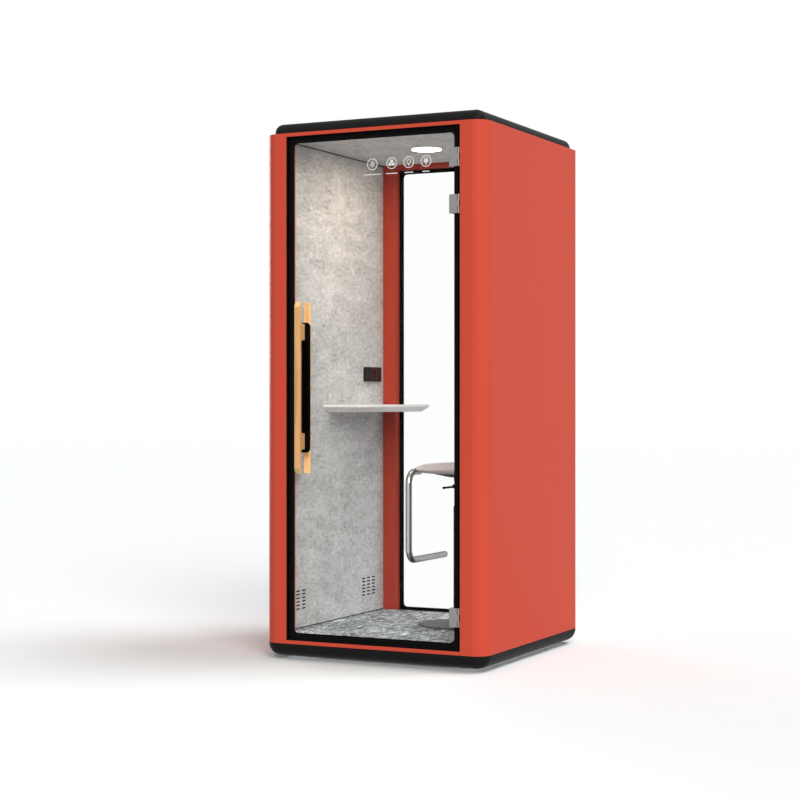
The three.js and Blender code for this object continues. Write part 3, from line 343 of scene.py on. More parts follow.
class Finish:
    """A procedural material built round one Principled shader."""

    def __init__(self, name, **constants):
        self.material = bpy.data.materials.new(name)
        self.material.use_nodes = True
        self.tree = self.material.node_tree
        self.shader = self.tree.nodes["Principled BSDF"]
        self.place = self.node("ShaderNodeTexCoord", {}, out="Object")
        self.set(**constants)

    def node(self, kind, settings, *values, out=0, **sockets):
        made = self.tree.nodes.new(kind)
        for key, value in settings.items():
            if key == "stops":
                self.fill_ramp(made.color_ramp, value)
            else:
                setattr(made, key, value)
        for socket, value in [*zip(made.inputs, values), *((made.inputs[k], v) for k, v in sockets.items())]:
            self.feed(socket, value)
        return Value(self, made.outputs[out])

    def feed(self, socket, value):
        if isinstance(value, Value):
            self.tree.links.new(value.socket, socket)
        elif hasattr(value, "__len__") and len(value) == 3 and socket.type == "RGBA":
            socket.default_value = (*value, 1.0)
        else:
            socket.default_value = value

    @staticmethod
    def fill_ramp(ramp, stops):
        while len(ramp.elements) < len(stops):
            ramp.elements.new(0.5)
        for element, (position, tone) in zip(ramp.elements, stops):
            element.position = position
            element.color = (*tone, 1.0)

    def set(self, **sockets):
        for key, value in sockets.items():
            self.feed(self.shader.inputs[key.replace("_", " ")], value)

    def stretched(self, scale, turn=(0, 0, 0)):
        return self.node("ShaderNodeMapping", {}, Vector=self.place, Scale=scale, Rotation=turn)

    def noise(self, scale, detail=3.0, roughness=0.55, at=None, distortion=0.0):
        return self.node("ShaderNodeTexNoise", {}, Vector=at or self.place, Scale=scale, Detail=detail,
                         Roughness=roughness, Distortion=distortion)

    def ramp(self, factor, *stops):
        return self.node("ShaderNodeValToRGB", {"stops": stops}, factor)

    def blend(self, factor, a, b):
        made = self.tree.nodes.new("ShaderNodeMix")
        made.data_type = "RGBA"
        self.feed(made.inputs["Factor"], factor)
        self.feed(made.inputs[6], a)
        self.feed(made.inputs[7], b)
        return Value(self, made.outputs[2])

    def end_cut(self):
        """1 on faces that look up or down, such as the sloped cut ends of the upright handles; used to paint a
        highlight there.
        """
        facing = self.node("ShaderNodeTexCoord", {}, out="Normal")
        rise = self.node("ShaderNodeSeparateXYZ", {}, facing, out="Z")
        return self.node("ShaderNodeMapRange", {}, rise.maths("ABSOLUTE", rise, 0.0), 0.25, 0.5, 0.0, 1.0)

    def bump(self, height, depth, strength=1.0):
        self.set(Normal=self.node("ShaderNodeBump", {}, Height=height, Distance=depth, Strength=strength))


def shade(tone, factor):
    return tuple(min(channel * factor, 1.0) for channel in tone)


_finishes = {}


def finish(name):
    """Each finish is made once, by the function of its name."""
    if name not in _finishes:
        _finishes[name] = FINISHES[name](bpy.context.scene.pod_colours)
    return _finishes[name]


def powder_coat(colours):
    coat = Finish("powder_coat", Specular_IOR_Level=0.06)
    broad = coat.noise(1.7, detail=2)
    peel = coat.noise(520, detail=2)
    tone = tuple(colours.orange)
    coat.set(Base_Color=coat.blend(broad, shade(tone, 0.965), shade(tone, 1.035)))
    coat.set(Roughness=0.38 + 0.06 * broad + 0.05 * peel)
    coat.bump(peel, 0.00022, 0.35)
    return coat.material


def lacquer_painted_shade(colours):
    coat = Finish("lacquer_painted_shade", Specular_IOR_Level=0.06)
    broad = coat.noise(3.0, detail=2)
    grain = coat.noise(60, detail=3, at=coat.stretched((1, 1, 0.05)))
    tone = tuple(colours.orange)
    # The base colour is the shell orange at about half its brightness: painted shade on the door stop and back window
    # frames.
    coat.set(Base_Color=coat.blend(broad, shade(tone, 0.52), shade(tone, 0.58)))
    coat.set(Roughness=0.4 + 0.08 * grain)
    coat.bump(grain, 0.00015, 0.25)
    return coat.material


def textured_moulding(colours):
    skin = Finish("textured_moulding", Specular_IOR_Level=0.05)
    pores = skin.noise(700, detail=2)
    broad = skin.noise(4, detail=3)
    tone = tuple(colours.black)
    skin.set(Base_Color=skin.blend(broad, shade(tone, 0.85), shade(tone, 1.25)))
    skin.set(Roughness=0.44 + 0.12 * pores)
    skin.bump(pores, 0.0002, 0.5)
    return skin.material


def black_profile(colours):
    metal = Finish("black_profile", Specular_IOR_Level=0.08)
    lines = metal.noise(420, detail=2, at=metal.stretched((1, 1, 0.02)))
    tone = (0.0022, 0.0022, 0.0023)
    metal.set(Base_Color=metal.blend(lines, shade(tone, 0.7), shade(tone, 1.5)), Roughness=0.42 + 0.12 * lines)
    metal.bump(lines, 0.00005, 0.2)
    return metal.material


def needle_felt(colours):
    felt = Finish("needle_felt", Specular_IOR_Level=0.12, Sheen_Weight=0.15, Sheen_Roughness=0.6)
    along = felt.stretched((1, 0.45, 1))
    cloud = felt.noise(20, detail=3, roughness=0.6, at=along, distortion=0.4)
    fleck = felt.noise(80, detail=4, roughness=0.75, at=along)
    fibre = felt.noise(330, detail=3, roughness=0.7, at=along, distortion=1.2)
    tone = tuple(colours.felt)
    mixed = 0.30 * cloud + 0.46 * fleck + 0.24 * fibre
    felt.set(Base_Color=felt.ramp(mixed, (0.38, shade(tone, 0.58)), (0.47, shade(tone, 0.90)),
                                  (0.54, shade(tone, 1.10)), (0.64, shade(tone, 1.45))))
    felt.set(Roughness=0.88 + 0.1 * fleck)
    felt.bump(0.6 * fibre + 0.4 * fleck, 0.0012, 0.6)
    return felt.material


def loop_carpet(colours):
    pile = Finish("loop_carpet", Specular_IOR_Level=0.1, Sheen_Weight=0.12, Sheen_Roughness=0.7)
    along = pile.stretched((1, 0.5, 1))
    patch = pile.noise(13, detail=2, roughness=0.6, at=along, distortion=0.6)
    cloud = pile.noise(46, detail=4, roughness=0.7, at=along, distortion=0.8)
    fleck = pile.noise(130, detail=3, roughness=0.7, at=along, distortion=0.8)
    loops = pile.node("ShaderNodeTexVoronoi", {"feature": "F1"}, Vector=pile.place, Scale=260)
    tone = tuple(colours.carpet)
    mixed = 0.20 * patch + 0.44 * cloud + 0.36 * fleck
    pile.set(Base_Color=pile.ramp(mixed, (0.425, shade(tone, 0.15)), (0.485, shade(tone, 0.62)),
                                  (0.535, shade(tone, 1.4)), (0.585, shade(tone, 2.9))))
    pile.set(Roughness=0.9 + 0.08 * fleck)
    pile.bump(1 - loops, 0.0016, 0.7)
    return pile.material


def oiled_wood(colours):
    wood = Finish("oiled_wood", Specular_IOR_Level=0.45)
    rings = wood.noise(38, detail=4, roughness=0.6, at=wood.stretched((1, 1, 0.06)), distortion=0.7)
    pores = wood.noise(420, detail=2, at=wood.stretched((1, 1, 0.03)))
    tone = tuple(colours.wood)
    dark = (tone[0] * 0.76, tone[1] * 0.70, tone[2] * 0.60)
    pale = (min(tone[0] * 1.15, 1.0), tone[1] * 1.5, tone[2] * 1.45)
    figure = wood.ramp(0.75 * rings + 0.25 * pores, (0.36, dark), (0.52, tone), (0.66, shade(tone, 1.14)))
    # Faces that look up or down are painted paler: a painted highlight where the handle ends catch light from above.
    wood.set(Base_Color=wood.blend(wood.end_cut(), figure, pale))
    wood.set(Roughness=0.34 + 0.16 * pores)
    wood.bump(pores, 0.0002, 0.35)
    return wood.material


def satin_steel(colours):
    steel = Finish("satin_steel", Metallic=0.9)
    lines = steel.noise(900, detail=2, at=steel.stretched((1, 1, 0.015)))
    broad = steel.noise(20, detail=2)
    tone = tuple(colours.steel)
    steel.set(Base_Color=steel.blend(broad, shade(tone, 0.94), shade(tone, 1.06)), Roughness=0.34 + 0.14 * lines)
    steel.bump(lines, 0.00003, 0.3)
    return steel.material


def bright_tube(colours):
    tube = Finish("bright_tube", Metallic=1.0, Specular_Tint=(0.25, 0.25, 0.25))
    lines = tube.noise(600, detail=2)
    broad = tube.noise(9, detail=3)
    tone = tuple(colours.tube)
    tube.set(Base_Color=tube.blend(broad, shade(tone, 0.95), shade(tone, 1.05)), Roughness=0.17 + 0.08 * lines)
    tube.bump(lines, 0.00003, 0.15)
    return tube.material


def clear_glass(colours):
    """Glass that lets lamps through: a clear shader stands in for shadow rays."""
    glass = Finish("clear_glass", Transmission_Weight=1.0, IOR=1.12, Base_Color=tuple(colours.glass))
    smear = glass.noise(5, detail=3)
    glass.set(Roughness=0.012 * smear)
    path = glass.node("ShaderNodeLightPath", {}, out="Is Shadow Ray")
    open_air = glass.node("ShaderNodeBsdfTransparent", {}, shade(tuple(colours.glass), 0.52))
    mixed = glass.node("ShaderNodeMixShader", {}, path, Value(glass, glass.shader.outputs[0]), open_air)
    glass.feed(glass.tree.nodes["Material Output"].inputs["Surface"], mixed)
    return glass.material


def black_enamel(colours):
    enamel = Finish("black_enamel", Specular_IOR_Level=0.06)
    broad = enamel.noise(6, detail=3)
    tone = (0.0016, 0.0016, 0.0017)
    enamel.set(Base_Color=enamel.blend(broad, shade(tone, 0.7), shade(tone, 1.4)), Roughness=0.12 + 0.08 * broad)
    return enamel.material


def white_print(colours):
    ink = Finish("white_print", Specular_IOR_Level=0.3)
    specks = ink.noise(800, detail=2)
    ink.set(Base_Color=ink.blend(specks, (0.86, 0.86, 0.85), (0.96, 0.96, 0.95)), Roughness=0.4 + 0.15 * specks)
    return ink.material


def black_rubber(colours):
    rubber = Finish("black_rubber", Specular_IOR_Level=0.06)
    dust = rubber.noise(60, detail=4)
    rubber.set(Base_Color=rubber.blend(dust, (0.004, 0.004, 0.004), (0.009, 0.009, 0.009)))
    rubber.set(Roughness=0.68 + 0.18 * dust)
    rubber.bump(rubber.noise(900), 0.0001, 0.4)
    return rubber.material


def white_laminate(colours):
    board = Finish("white_laminate", Specular_IOR_Level=0.45)
    pearl = board.noise(650, detail=2)
    broad = board.noise(5, detail=2)
    tone = tuple(colours.desk)
    board.set(Base_Color=board.blend(broad, shade(tone, 0.97), shade(tone, 1.02)), Roughness=0.36 + 0.1 * pearl)
    board.bump(pearl, 0.00008, 0.3)
    return board.material


def satin_white(colours):
    trim = Finish("satin_white", Specular_IOR_Level=0.45)
    grain = trim.noise(500, detail=2)
    trim.set(Base_Color=trim.blend(grain, (0.80, 0.80, 0.79), (0.86, 0.86, 0.85)), Roughness=0.4 + 0.1 * grain)
    return trim.material


def opal_diffuser(colours):
    opal = Finish("opal_diffuser", Specular_IOR_Level=0.4, Emission_Strength=2.6)
    cloud = opal.noise(30, detail=2)
    opal.set(Base_Color=opal.blend(cloud, (0.92, 0.91, 0.89), (0.97, 0.96, 0.95)), Roughness=0.5 + 0.08 * cloud)
    opal.set(Emission_Color=opal.blend(cloud, (0.97, 0.94, 0.89), (1.0, 0.97, 0.93)))
    return opal.material


def switch_plastic(colours):
    shell = Finish("switch_plastic", Specular_IOR_Level=0.05)
    pores = shell.noise(900, detail=2)
    shell.set(Base_Color=shell.blend(pores, (0.009, 0.008, 0.008), (0.016, 0.014, 0.013)), Roughness=0.38 + 0.14 * pores)
    shell.bump(pores, 0.0001, 0.3)
    return shell.material


def socket_plastic(colours):
    shell = Finish("socket_plastic", Specular_IOR_Level=0.05)
    pores = shell.noise(900, detail=2)
    shell.set(Base_Color=shell.blend(pores, (0.034, 0.013, 0.011), (0.052, 0.020, 0.017)), Roughness=0.4 + 0.12 * pores)
    shell.bump(pores, 0.0001, 0.3)
    return shell.material


def woven_cover(colours):
    """Plain weave: two crossed sets of threads, each a rounded wave."""
    cloth = Finish("woven_cover", Specular_IOR_Level=0.15, Sheen_Weight=0.3, Sheen_Roughness=0.5)
    turned = cloth.stretched((1, 1, 1), (0, 0, math.radians(45)))
    warp = cloth.node("ShaderNodeTexWave", {"bands_direction": "X"}, Vector=turned, Scale=190, Distortion=0.6)
    weft = cloth.node("ShaderNodeTexWave", {"bands_direction": "Y"}, Vector=turned, Scale=190, Distortion=0.6)
    weave = cloth.node("ShaderNodeMath", {"operation": "MAXIMUM"}, Value(cloth, warp.socket.node.outputs["Fac"]),
                       Value(cloth, weft.socket.node.outputs["Fac"]))
    melange = cloth.noise(140, detail=4, roughness=0.7)
    broad = cloth.noise(9, detail=2)
    tone = tuple(colours.seat)
    cloth.set(Base_Color=cloth.ramp(0.4 * weave + 0.4 * melange + 0.2 * broad, (0.30, shade(tone, 0.62)),
                                    (0.55, tone), (0.78, shade(tone, 1.28))))
    cloth.set(Roughness=0.85 + 0.1 * melange)
    cloth.bump(weave + 0.3 * melange, 0.0007, 0.6)
    return cloth.material


def dark_plate(colours):
    plate = Finish("dark_plate", Specular_IOR_Level=0.15)
    grain = plate.noise(700, detail=2)
    broad = plate.noise(5, detail=2)
    plate.set(Base_Color=plate.blend(broad, (0.068, 0.068, 0.070), (0.084, 0.084, 0.087)), Roughness=0.46 + 0.1 * grain)
    plate.bump(grain, 0.00015, 0.35)
    return plate.material


def plated_steel(colours):
    steel = Finish("plated_steel", Metallic=1.0)
    spangle = steel.node("ShaderNodeTexVoronoi", {"feature": "F1"}, Vector=steel.place, Scale=70, out="Color")
    grain = steel.noise(45, detail=3)
    steel.set(Base_Color=steel.blend(grain, (0.40, 0.41, 0.43), (0.55, 0.56, 0.58)))
    steel.set(Roughness=0.36 + 0.2 * grain)
    steel.bump(spangle, 0.00005, 0.2)
    return steel.material


def birch_board(colours):
    board = Finish("birch_board", Specular_IOR_Level=0.3)
    grain = board.noise(30, detail=4, at=board.stretched((0.15, 1, 1)))
    board.set(Base_Color=board.ramp(grain, (0.35, (0.40, 0.26, 0.13)), (0.65, (0.60, 0.43, 0.24))))
    board.set(Roughness=0.6 + 0.2 * grain)
    board.bump(grain, 0.0003, 0.3)
    return board.material


def mineral_fibre(colours):
    wool = Finish("mineral_fibre", Specular_IOR_Level=0.1)
    strand = wool.noise(120, detail=5, at=wool.stretched((1, 1, 0.3)), distortion=1.0)
    # Near black, so that the vent slots in the felt read dark: painted shade in the slots.
    wool.set(Base_Color=wool.ramp(strand, (0.3, (0.012, 0.011, 0.010)), (0.7, (0.032, 0.030, 0.028))))
    wool.set(Roughness=0.9 + 0.08 * strand)
    wool.bump(strand, 0.002, 0.6)
    return wool.material


FINISHES = {make.__name__: make for make in (
    powder_coat, lacquer_painted_shade, textured_moulding, black_profile, needle_felt, loop_carpet, oiled_wood,
    satin_steel, bright_tube, clear_glass, black_enamel, white_print, black_rubber, white_laminate, satin_white,
    opal_diffuser, switch_plastic, socket_plastic, woven_cover, dark_plate, plated_steel, birch_board, mineral_fibre,
)}


# Operators

class PodOperator:
    """What every operator of the pod shares"""

    bl_options = {"REGISTER", "UNDO"}

    def execute(self, context):
        self.build(context.scene.pod_sizes)
        return {"FINISHED"}


class POD_OT_stage(bpy.types.Operator):
    """Sets up the pale floor, the soft lamps, the surrounding light and the camera"""

    bl_idname = "pod.stage"
    bl_label = "Stage"

    def execute(self, context):
        stage = context.scene.pod_stage
        scene = context.scene
        scene.view_settings.view_transform = "Standard"
        self.camera(scene, stage)
        self.floor(stage)
        self.surroundings(scene, stage)
        self.lamp("side_lamp", (0.897, 0.442), 61, stage.side_lamp, stage.side_softness, (0.98, 0.97, 1.0))
        self.lamp("front_lamp", (0.58, -0.815), 30, stage.front_lamp, stage.front_softness, (1.0, 0.985, 0.94))
        self.lamp("rear_lamp", (-0.88, 0.475), 6, stage.rear_lamp, stage.rear_softness, (1.0, 1.0, 1.0))
        self.cabin_lamp(stage.cabin_lamp)
        self.window_lamp(stage.window_lamp)
        return {"FINISHED"}

    @staticmethod
    def camera(scene, stage):
        clear_selection()
        bpy.ops.object.camera_add(location=stage.eye, rotation=(math.pi / 2, 0, stage.turn))
        camera = bpy.context.object
        camera.data.sensor_width = 36.0
        camera.data.lens = stage.lens
        scene.camera = camera

    @staticmethod
    def lamp(name, heading, height, strength, softness, tint):
        """A broad far lamp, so that the whole floor is lit alike."""
        clear_selection()
        rise = math.tan(math.radians(height)) * Vector(heading).length
        place = Vector((*heading, rise)) * 4
        bpy.ops.object.light_add(type="SUN", location=place, rotation=place.to_track_quat("Z", "Y").to_euler())
        lamp = bpy.context.object
        lamp.name = name
        lamp.data.energy = strength
        lamp.data.angle = softness
        lamp.data.color = tint

    @staticmethod
    def window_lamp(power):
        """Daylight that comes in low through the back window, on the felt and the carpet."""
        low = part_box("back_glass")[0]
        clear_selection()
        place = Vector((0.06, low.y - 0.05, 0.23))
        aim = Vector((0.80, 0.55, 0.42)).to_track_quat("Z", "Y").to_euler()
        bpy.ops.object.light_add(type="AREA", location=place, rotation=aim)
        lamp = bpy.context.object
        lamp.name = "window_lamp"
        lamp.data.shape = "RECTANGLE"
        lamp.data.size = 0.40
        lamp.data.size_y = 0.12
        lamp.data.energy = power
        for kind in ("camera", "glossy", "transmission"):
            setattr(lamp, f"visible_{kind}", False)

    @staticmethod
    def cabin_lamp(power):
        low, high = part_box("light_diffuser")
        clear_selection()
        bpy.ops.object.light_add(type="AREA", location=((low.x + high.x) / 2, (low.y + high.y) / 2, low.z - 0.004))
        lamp = bpy.context.object
        lamp.name = "cabin_lamp"
        lamp.data.shape = "DISK"
        lamp.data.size = high.x - low.x
        lamp.data.energy = power
        lamp.data.color = (1.0, 0.84, 0.68)

    @staticmethod
    def floor(stage):
        clear_selection()
        bpy.ops.mesh.primitive_plane_add(size=60)
        floor = bpy.context.object
        floor.name = "studio_floor"
        paper = Finish("studio_paper", Roughness=0.9, Specular_IOR_Level=0.0)
        seen = paper.node("ShaderNodeLightPath", {}, out="Is Camera Ray")
        behind = paper.node("ShaderNodeLightPath", {}, out="Is Transmission Ray")
        mirrored = paper.node("ShaderNodeLightPath", {}, out="Is Glossy Ray")
        backdrop = behind.maths("MAXIMUM", behind, mirrored)
        lit = paper.blend(seen, (stage.bounce,) * 3, shade((0.975, 1.0, 1.005), stage.paper))
        paper.set(Base_Color=paper.blend(backdrop, lit, (0, 0, 0)), Emission_Strength=1.0)
        paper.set(Emission_Color=paper.blend(backdrop, (0, 0, 0), (1, 1, 1)))
        floor.data.materials.append(paper.material)

    @staticmethod
    def surroundings(scene, stage):
        """White where it is seen, plainly, in gloss or through glass; dimmer as light."""
        world = bpy.data.worlds.new("studio")
        scene.world = world
        world.use_nodes = True
        tree = world.node_tree
        back = tree.nodes["Background"]
        path = tree.nodes.new("ShaderNodeLightPath")
        strength = stage.ambient
        for ray in ("Is Glossy Ray", "Is Transmission Ray", "Is Camera Ray"):
            choice = tree.nodes.new("ShaderNodeMix")
            tree.links.new(path.outputs[ray], choice.inputs["Factor"])
            if isinstance(strength, float):
                choice.inputs["A"].default_value = strength
            else:
                tree.links.new(strength, choice.inputs["A"])
            choice.inputs["B"].default_value = 1.0
            strength = choice.outputs["Result"]
        tree.links.new(strength, back.inputs["Strength"])
        back.inputs["Color"].default_value = (1, 1, 1, 1)


def rounded_box(name, low, high, corner, segments):
    """A block with rounded upright edges."""
    piece = block(name, low, high)
    round_edges(piece, lambda e: runs_along(e, "Z"), corner, segments)
    return piece


def open_shell(piece, test, thickness):
    """Takes off the faces that the test accepts and thickens the rest inwards."""
    with editing(piece, "FACE"):
        pick(piece, test)
        bpy.ops.mesh.delete(type="FACE")
    finish_with(piece, "SOLIDIFY", thickness=thickness, offset=-1.0, use_even_offset=True)


class POD_OT_base(PodOperator, bpy.types.Operator):
    """Makes the plinth skirt with its rounded lower edge"""

    bl_idname = "pod.base"
    bl_label = "Base"

    def build(self, sizes):
        low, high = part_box("base_plinth")
        skirt = rounded_box("plinth_skirt", low, high, sizes.corner, 14)
        round_edges(skirt, lambda e: ends_at(e, "Z", low.z), sizes.plinth_round, 12)
        wall = 0.004
        open_shell(skirt, lambda f: abs(f.normal.z) > 0.999, wall)
        soften(skirt, sizes.edge)
        put_together(skirt, "pod", "black_moulding", finish("textured_moulding"), "base_plinth")


class POD_OT_walls(PodOperator, bpy.types.Operator):
    """Bends the two side shells and makes the strips above and below the glass"""

    bl_idname = "pod.walls"
    bl_label = "Walls"

    def build(self, sizes):
        for side in ("left", "right"):
            node = f"{side}_shell"
            low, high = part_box(node)
            outer = low.x if side == "left" else high.x
            inner_normal = (1, 0, 0) if side == "left" else (-1, 0, 0)
            shell = block(f"{side}_bent_shell", low, high)
            round_edges(shell, lambda e: runs_along(e, "Z") and ends_at(e, "X", outer), sizes.corner, 18)
            open_shell(shell, lambda f: faces_to(f, inner_normal) or faces_to(f, (0, 0, -1)), sizes.skin)
            soften(shell, sizes.edge)
            put_together(shell, "pod", "orange_paint", finish("powder_coat"), node)
        for node in ("front_header", "front_sill", "back_header", "back_sill"):
            strip = block(f"{node}_strip", *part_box(node))
            soften(strip, sizes.edge)
            put_together(strip, "pod", "orange_lacquer", finish("powder_coat"), node)


class POD_OT_roof(PodOperator, bpy.types.Operator):
    """Makes the roof cap with its rounded edge, vent slots and inlet cut-out"""

    bl_idname = "pod.roof"
    bl_label = "Roof"

    def build(self, sizes):
        low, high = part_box("roof_cap")
        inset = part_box("base_plinth")[1].x - high.x
        cap = rounded_box("roof_cap_moulding", low, high, sizes.corner - inset, 14)
        round_edges(cap, lambda e: ends_at(e, "Z", high.z), sizes.cap_round, 10)
        open_shell(cap, lambda f: faces_to(f, (0, 0, -1)), sizes.skin)
        fan_low, fan_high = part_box("fan_housing")
        middle = (fan_low + fan_high) / 2
        slot_half, slot_wide, pitch, count = 0.052, 0.006, 0.015, 7
        deep = 0.006
        for i in range(count):
            y = middle.y + (i - (count - 1) / 2) * pitch
            cutter = block("slot", (-slot_half, y - slot_wide / 2, high.z - deep),
                           (slot_half, y + slot_wide / 2, high.z + deep))
            round_edges(cutter, lambda e: runs_along(e, "Z"), slot_wide * 0.49, 4)
            carve(cap, cutter)
        inlet_low, inlet_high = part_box("power_inlet")
        lap = 0.0035
        carve(cap, block("inlet_hole", (inlet_low.x + lap, inlet_low.y + lap, high.z - deep),
                         (inlet_high.x - lap, inlet_high.y - lap, high.z + deep)))
        soften(cap, sizes.edge * 0.6, angle=50)
        put_together(cap, "pod", "black_moulding", finish("textured_moulding"), "roof_cap")


class POD_OT_door_surround(PodOperator, bpy.types.Operator):
    """Makes the black lining of the opening, the seal and the frame that the door closes on"""

    bl_idname = "pod.door_surround"
    bl_label = "Door surround"

    def build(self, sizes):
        low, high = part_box("door_jamb")
        liner, face, rebate = 0.003, 0.0127, 0.020
        front = ring_frame("door_lining", low, high, (low.x + liner, low.z + liner), (high.x - liner, high.z - liner))
        step = ring_frame("step", (low.x, low.y + rebate - liner, low.z), high,
                          (low.x + face, low.z + face), (high.x - face, high.z - face))
        unite(front, step)
        soften(front, sizes.edge * 0.7)
        put_together(front, "pod", "black_profile", finish("black_profile"), "door_jamb")
        low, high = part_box("front_inner_frame")
        stop = ring_frame("door_stop_frame", low, high, (-sizes.stop_half, sizes.stop_low),
                          (sizes.stop_half, sizes.stop_high))
        soften(stop, sizes.edge)
        put_together(stop, "pod", "orange_lacquer", finish("lacquer_painted_shade"), "front_inner_frame")
        low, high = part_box("door_seal")
        lip = 0.0072
        seal = ring_frame("door_seal_lip", low, high, (low.x + lip, low.z + lip), (high.x - lip, high.z - lip))
        soften(seal, 0.0009, 3)
        put_together(seal, "pod", "rubber", finish("black_rubber"), "door_seal")


class POD_OT_door_leaf(PodOperator, bpy.types.Operator):
    """Makes the polished door glass and the printed symbols on it"""

    bl_idname = "pod.door_leaf"
    bl_label = "Door leaf"

    def build(self, sizes):
        low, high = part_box("door_glass")
        print_low, print_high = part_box("door_border")
        pane = block("door_pane", (print_low.x, low.y, print_low.z), (print_high.x, high.y, print_high.z))
        polish(pane)
        put_together(pane, "door", "clear_glass", finish("clear_glass"), "door_glass")
        wrap, clear = 0.0007, 0.00005
        band = ring_frame("door_edge_band", (low.x - wrap, print_low.y, low.z - wrap),
                          (high.x + wrap, high.y - wrap, high.z + wrap),
                          (print_low.x - clear, print_low.z - clear), (print_high.x + clear, print_high.z + clear))
        soften(band, 0.0002, 2)
        put_together(band, "door", "black_print", finish("black_enamel"))
        paint_nodes(finish("black_enamel"), "door_border")
        put_together(self.symbols(), "door", "white_trim", finish("white_print"))

    def symbols(self):
        """Four ringed symbols, each over a plain dash: sound bars, fan, lamp and plug."""
        low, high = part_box("door_border")
        self.y = (low.y + high.y) / 2
        self.thick = (high.y - low.y) / 2
        centres = (-0.0015, 0.0858, 0.162, 0.238)
        dashes = (0.078, 0.053, 0.039, 0.031)
        z, dash_z = 2.022, 1.981
        marks = []
        for x, dash in zip(centres, dashes):
            marks.append(self.ring(x, z, 0.0235, 0.0032))
            marks.append(self.bar(x, dash_z, dash, 0.0036))
        x = centres[0]
        for offset, tall in ((-0.010, 0.010), (-0.005, 0.020), (0.0, 0.026), (0.005, 0.018), (0.010, 0.008)):
            marks.append(self.bar(x + offset, z, 0.0026, tall))
        x = centres[1]
        for turn in (90, 210, 330):
            angle = math.radians(turn)
            marks.append(self.disc(x + 0.0085 * math.cos(angle), z + 0.0085 * math.sin(angle), 0.0066))
        marks.append(self.disc(x, z, 0.0024))
        x = centres[2]
        marks += [self.ring(x, z + 0.003, 0.0095, 0.0022), self.bar(x, z - 0.0095, 0.0085, 0.0034),
                  self.bar(x, z - 0.0140, 0.0055, 0.0026)]
        x = centres[3]
        marks += [self.bar(x, z + 0.001, 0.018, 0.014), self.bar(x - 0.005, z + 0.011, 0.003, 0.008),
                  self.bar(x + 0.005, z + 0.011, 0.003, 0.008), self.bar(x, z - 0.011, 0.004, 0.012)]
        return gather(marks[0], *marks[1:])

    def bar(self, x, z, wide, tall):
        mark = block("glass_symbols", (x - wide / 2, self.y - self.thick, z - tall / 2),
                     (x + wide / 2, self.y + self.thick, z + tall / 2))
        round_edges(mark, lambda e: runs_along(e, "Y"), min(wide, tall) * 0.3, 3)
        return mark

    def disc(self, x, z, radius):
        return cylinder("glass_symbols", (x, self.y, z), radius, 2 * self.thick, "Y", 32)

    def ring(self, x, z, radius, wide):
        mark = cylinder("glass_symbols", (x, self.y, z), radius, 2 * self.thick, "Y", 56)
        with editing(mark, "FACE"):
            pick(mark, lambda f: abs(f.normal.y) > 0.999)
            bpy.ops.mesh.inset(thickness=wide)
            bpy.ops.mesh.bridge_edge_loops()
        return mark


class POD_OT_hinges(PodOperator, bpy.types.Operator):
    """Makes one hinge in its three pieces and copies it to the other two places"""

    bl_idname = "pod.hinges"
    bl_label = "Hinges"

    def build(self, sizes):
        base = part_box("hinge_clamp_lower")[0].z
        made = {"clamp": self.clamp(sizes), "leaf": self.leaf(sizes), "plate": self.plate(sizes)}
        bodies = {"clamp": "door", "leaf": "pod", "plate": "door"}
        for place in ("middle", "upper"):
            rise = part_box(f"hinge_clamp_{place}")[0].z - base
            for kind, piece in made.items():
                copy = copy_at(piece, f"hinge_{kind}_{place}_steel", (0, 0, rise))
                put_together(copy, bodies[kind], "hinge_steel", finish("satin_steel"), f"hinge_{kind}_{place}")
        for kind, piece in made.items():
            put_together(piece, bodies[kind], "hinge_steel", finish("satin_steel"), f"hinge_{kind}_lower")

    pivot = Vector((0.381, -0.4985, 0))
    knuckle_r = 0.004
    knuckle_margin = 0.0255

    def clamp(self, sizes):
        low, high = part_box("hinge_clamp_lower")
        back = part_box("door_border")[0].y - 0.0003
        edge = 0.3764
        plate = block("hinge_clamp_lower_steel", low, (edge, back, high.z))
        soften(plate, 0.0012, 3)
        span = high.z - low.z - 2 * self.knuckle_margin
        middle = (low.z + high.z) / 2
        tongue = block("tongue", (edge - 0.002, low.y, middle - span / 2), (self.pivot.x, back, middle + span / 2))
        knuckle = cylinder("knuckle", (self.pivot.x, self.pivot.y, middle), self.knuckle_r, span, sides=40)
        unite(plate, tongue, knuckle)
        return smooth(plate)

    def leaf(self, sizes):
        low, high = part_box("hinge_leaf_lower")
        tall = high.z - low.z
        middle = (low.z + high.z) / 2
        leaf = block("hinge_leaf_lower_steel", (self.pivot.x, self.pivot.y - 0.003, low.z), high)
        soften(leaf, 0.0008, 2)
        unite(leaf, cylinder("barrel", (self.pivot.x, self.pivot.y, middle), self.knuckle_r, tall, sides=40))
        reach = 0.0054
        span = tall - 2 * self.knuckle_margin + 0.001
        carve(leaf, block("gap", (low.x - reach, low.y - reach, middle - span / 2),
                          (self.pivot.x + reach, self.pivot.y + reach, middle + span / 2)))
        unite(leaf, cylinder("pin", (self.pivot.x, self.pivot.y, middle), 0.002, tall, sides=24))
        return smooth(leaf)

    def plate(self, sizes):
        low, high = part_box("hinge_plate_lower")
        plate = block("hinge_plate_lower_steel", low, high)
        soften(plate, 0.0012, 3)
        x = 0.352
        for z in (low.z + 0.018, high.z - 0.018):
            sink = cylinder("sink", (x, high.y, z), 0.0052, 0.0024, "Y", 40)
            carve(plate, sink)
            head = cylinder("head", (x, high.y - 0.0009, z), 0.0049, 0.0012, "Y", 40)
            soften(head, 0.0003, 2)
            key = cylinder("key", (x, high.y, z), 0.0023, 0.0016, "Y", 6)
            carve(head, key)
            gather(plate, head)
        return smooth(plate)


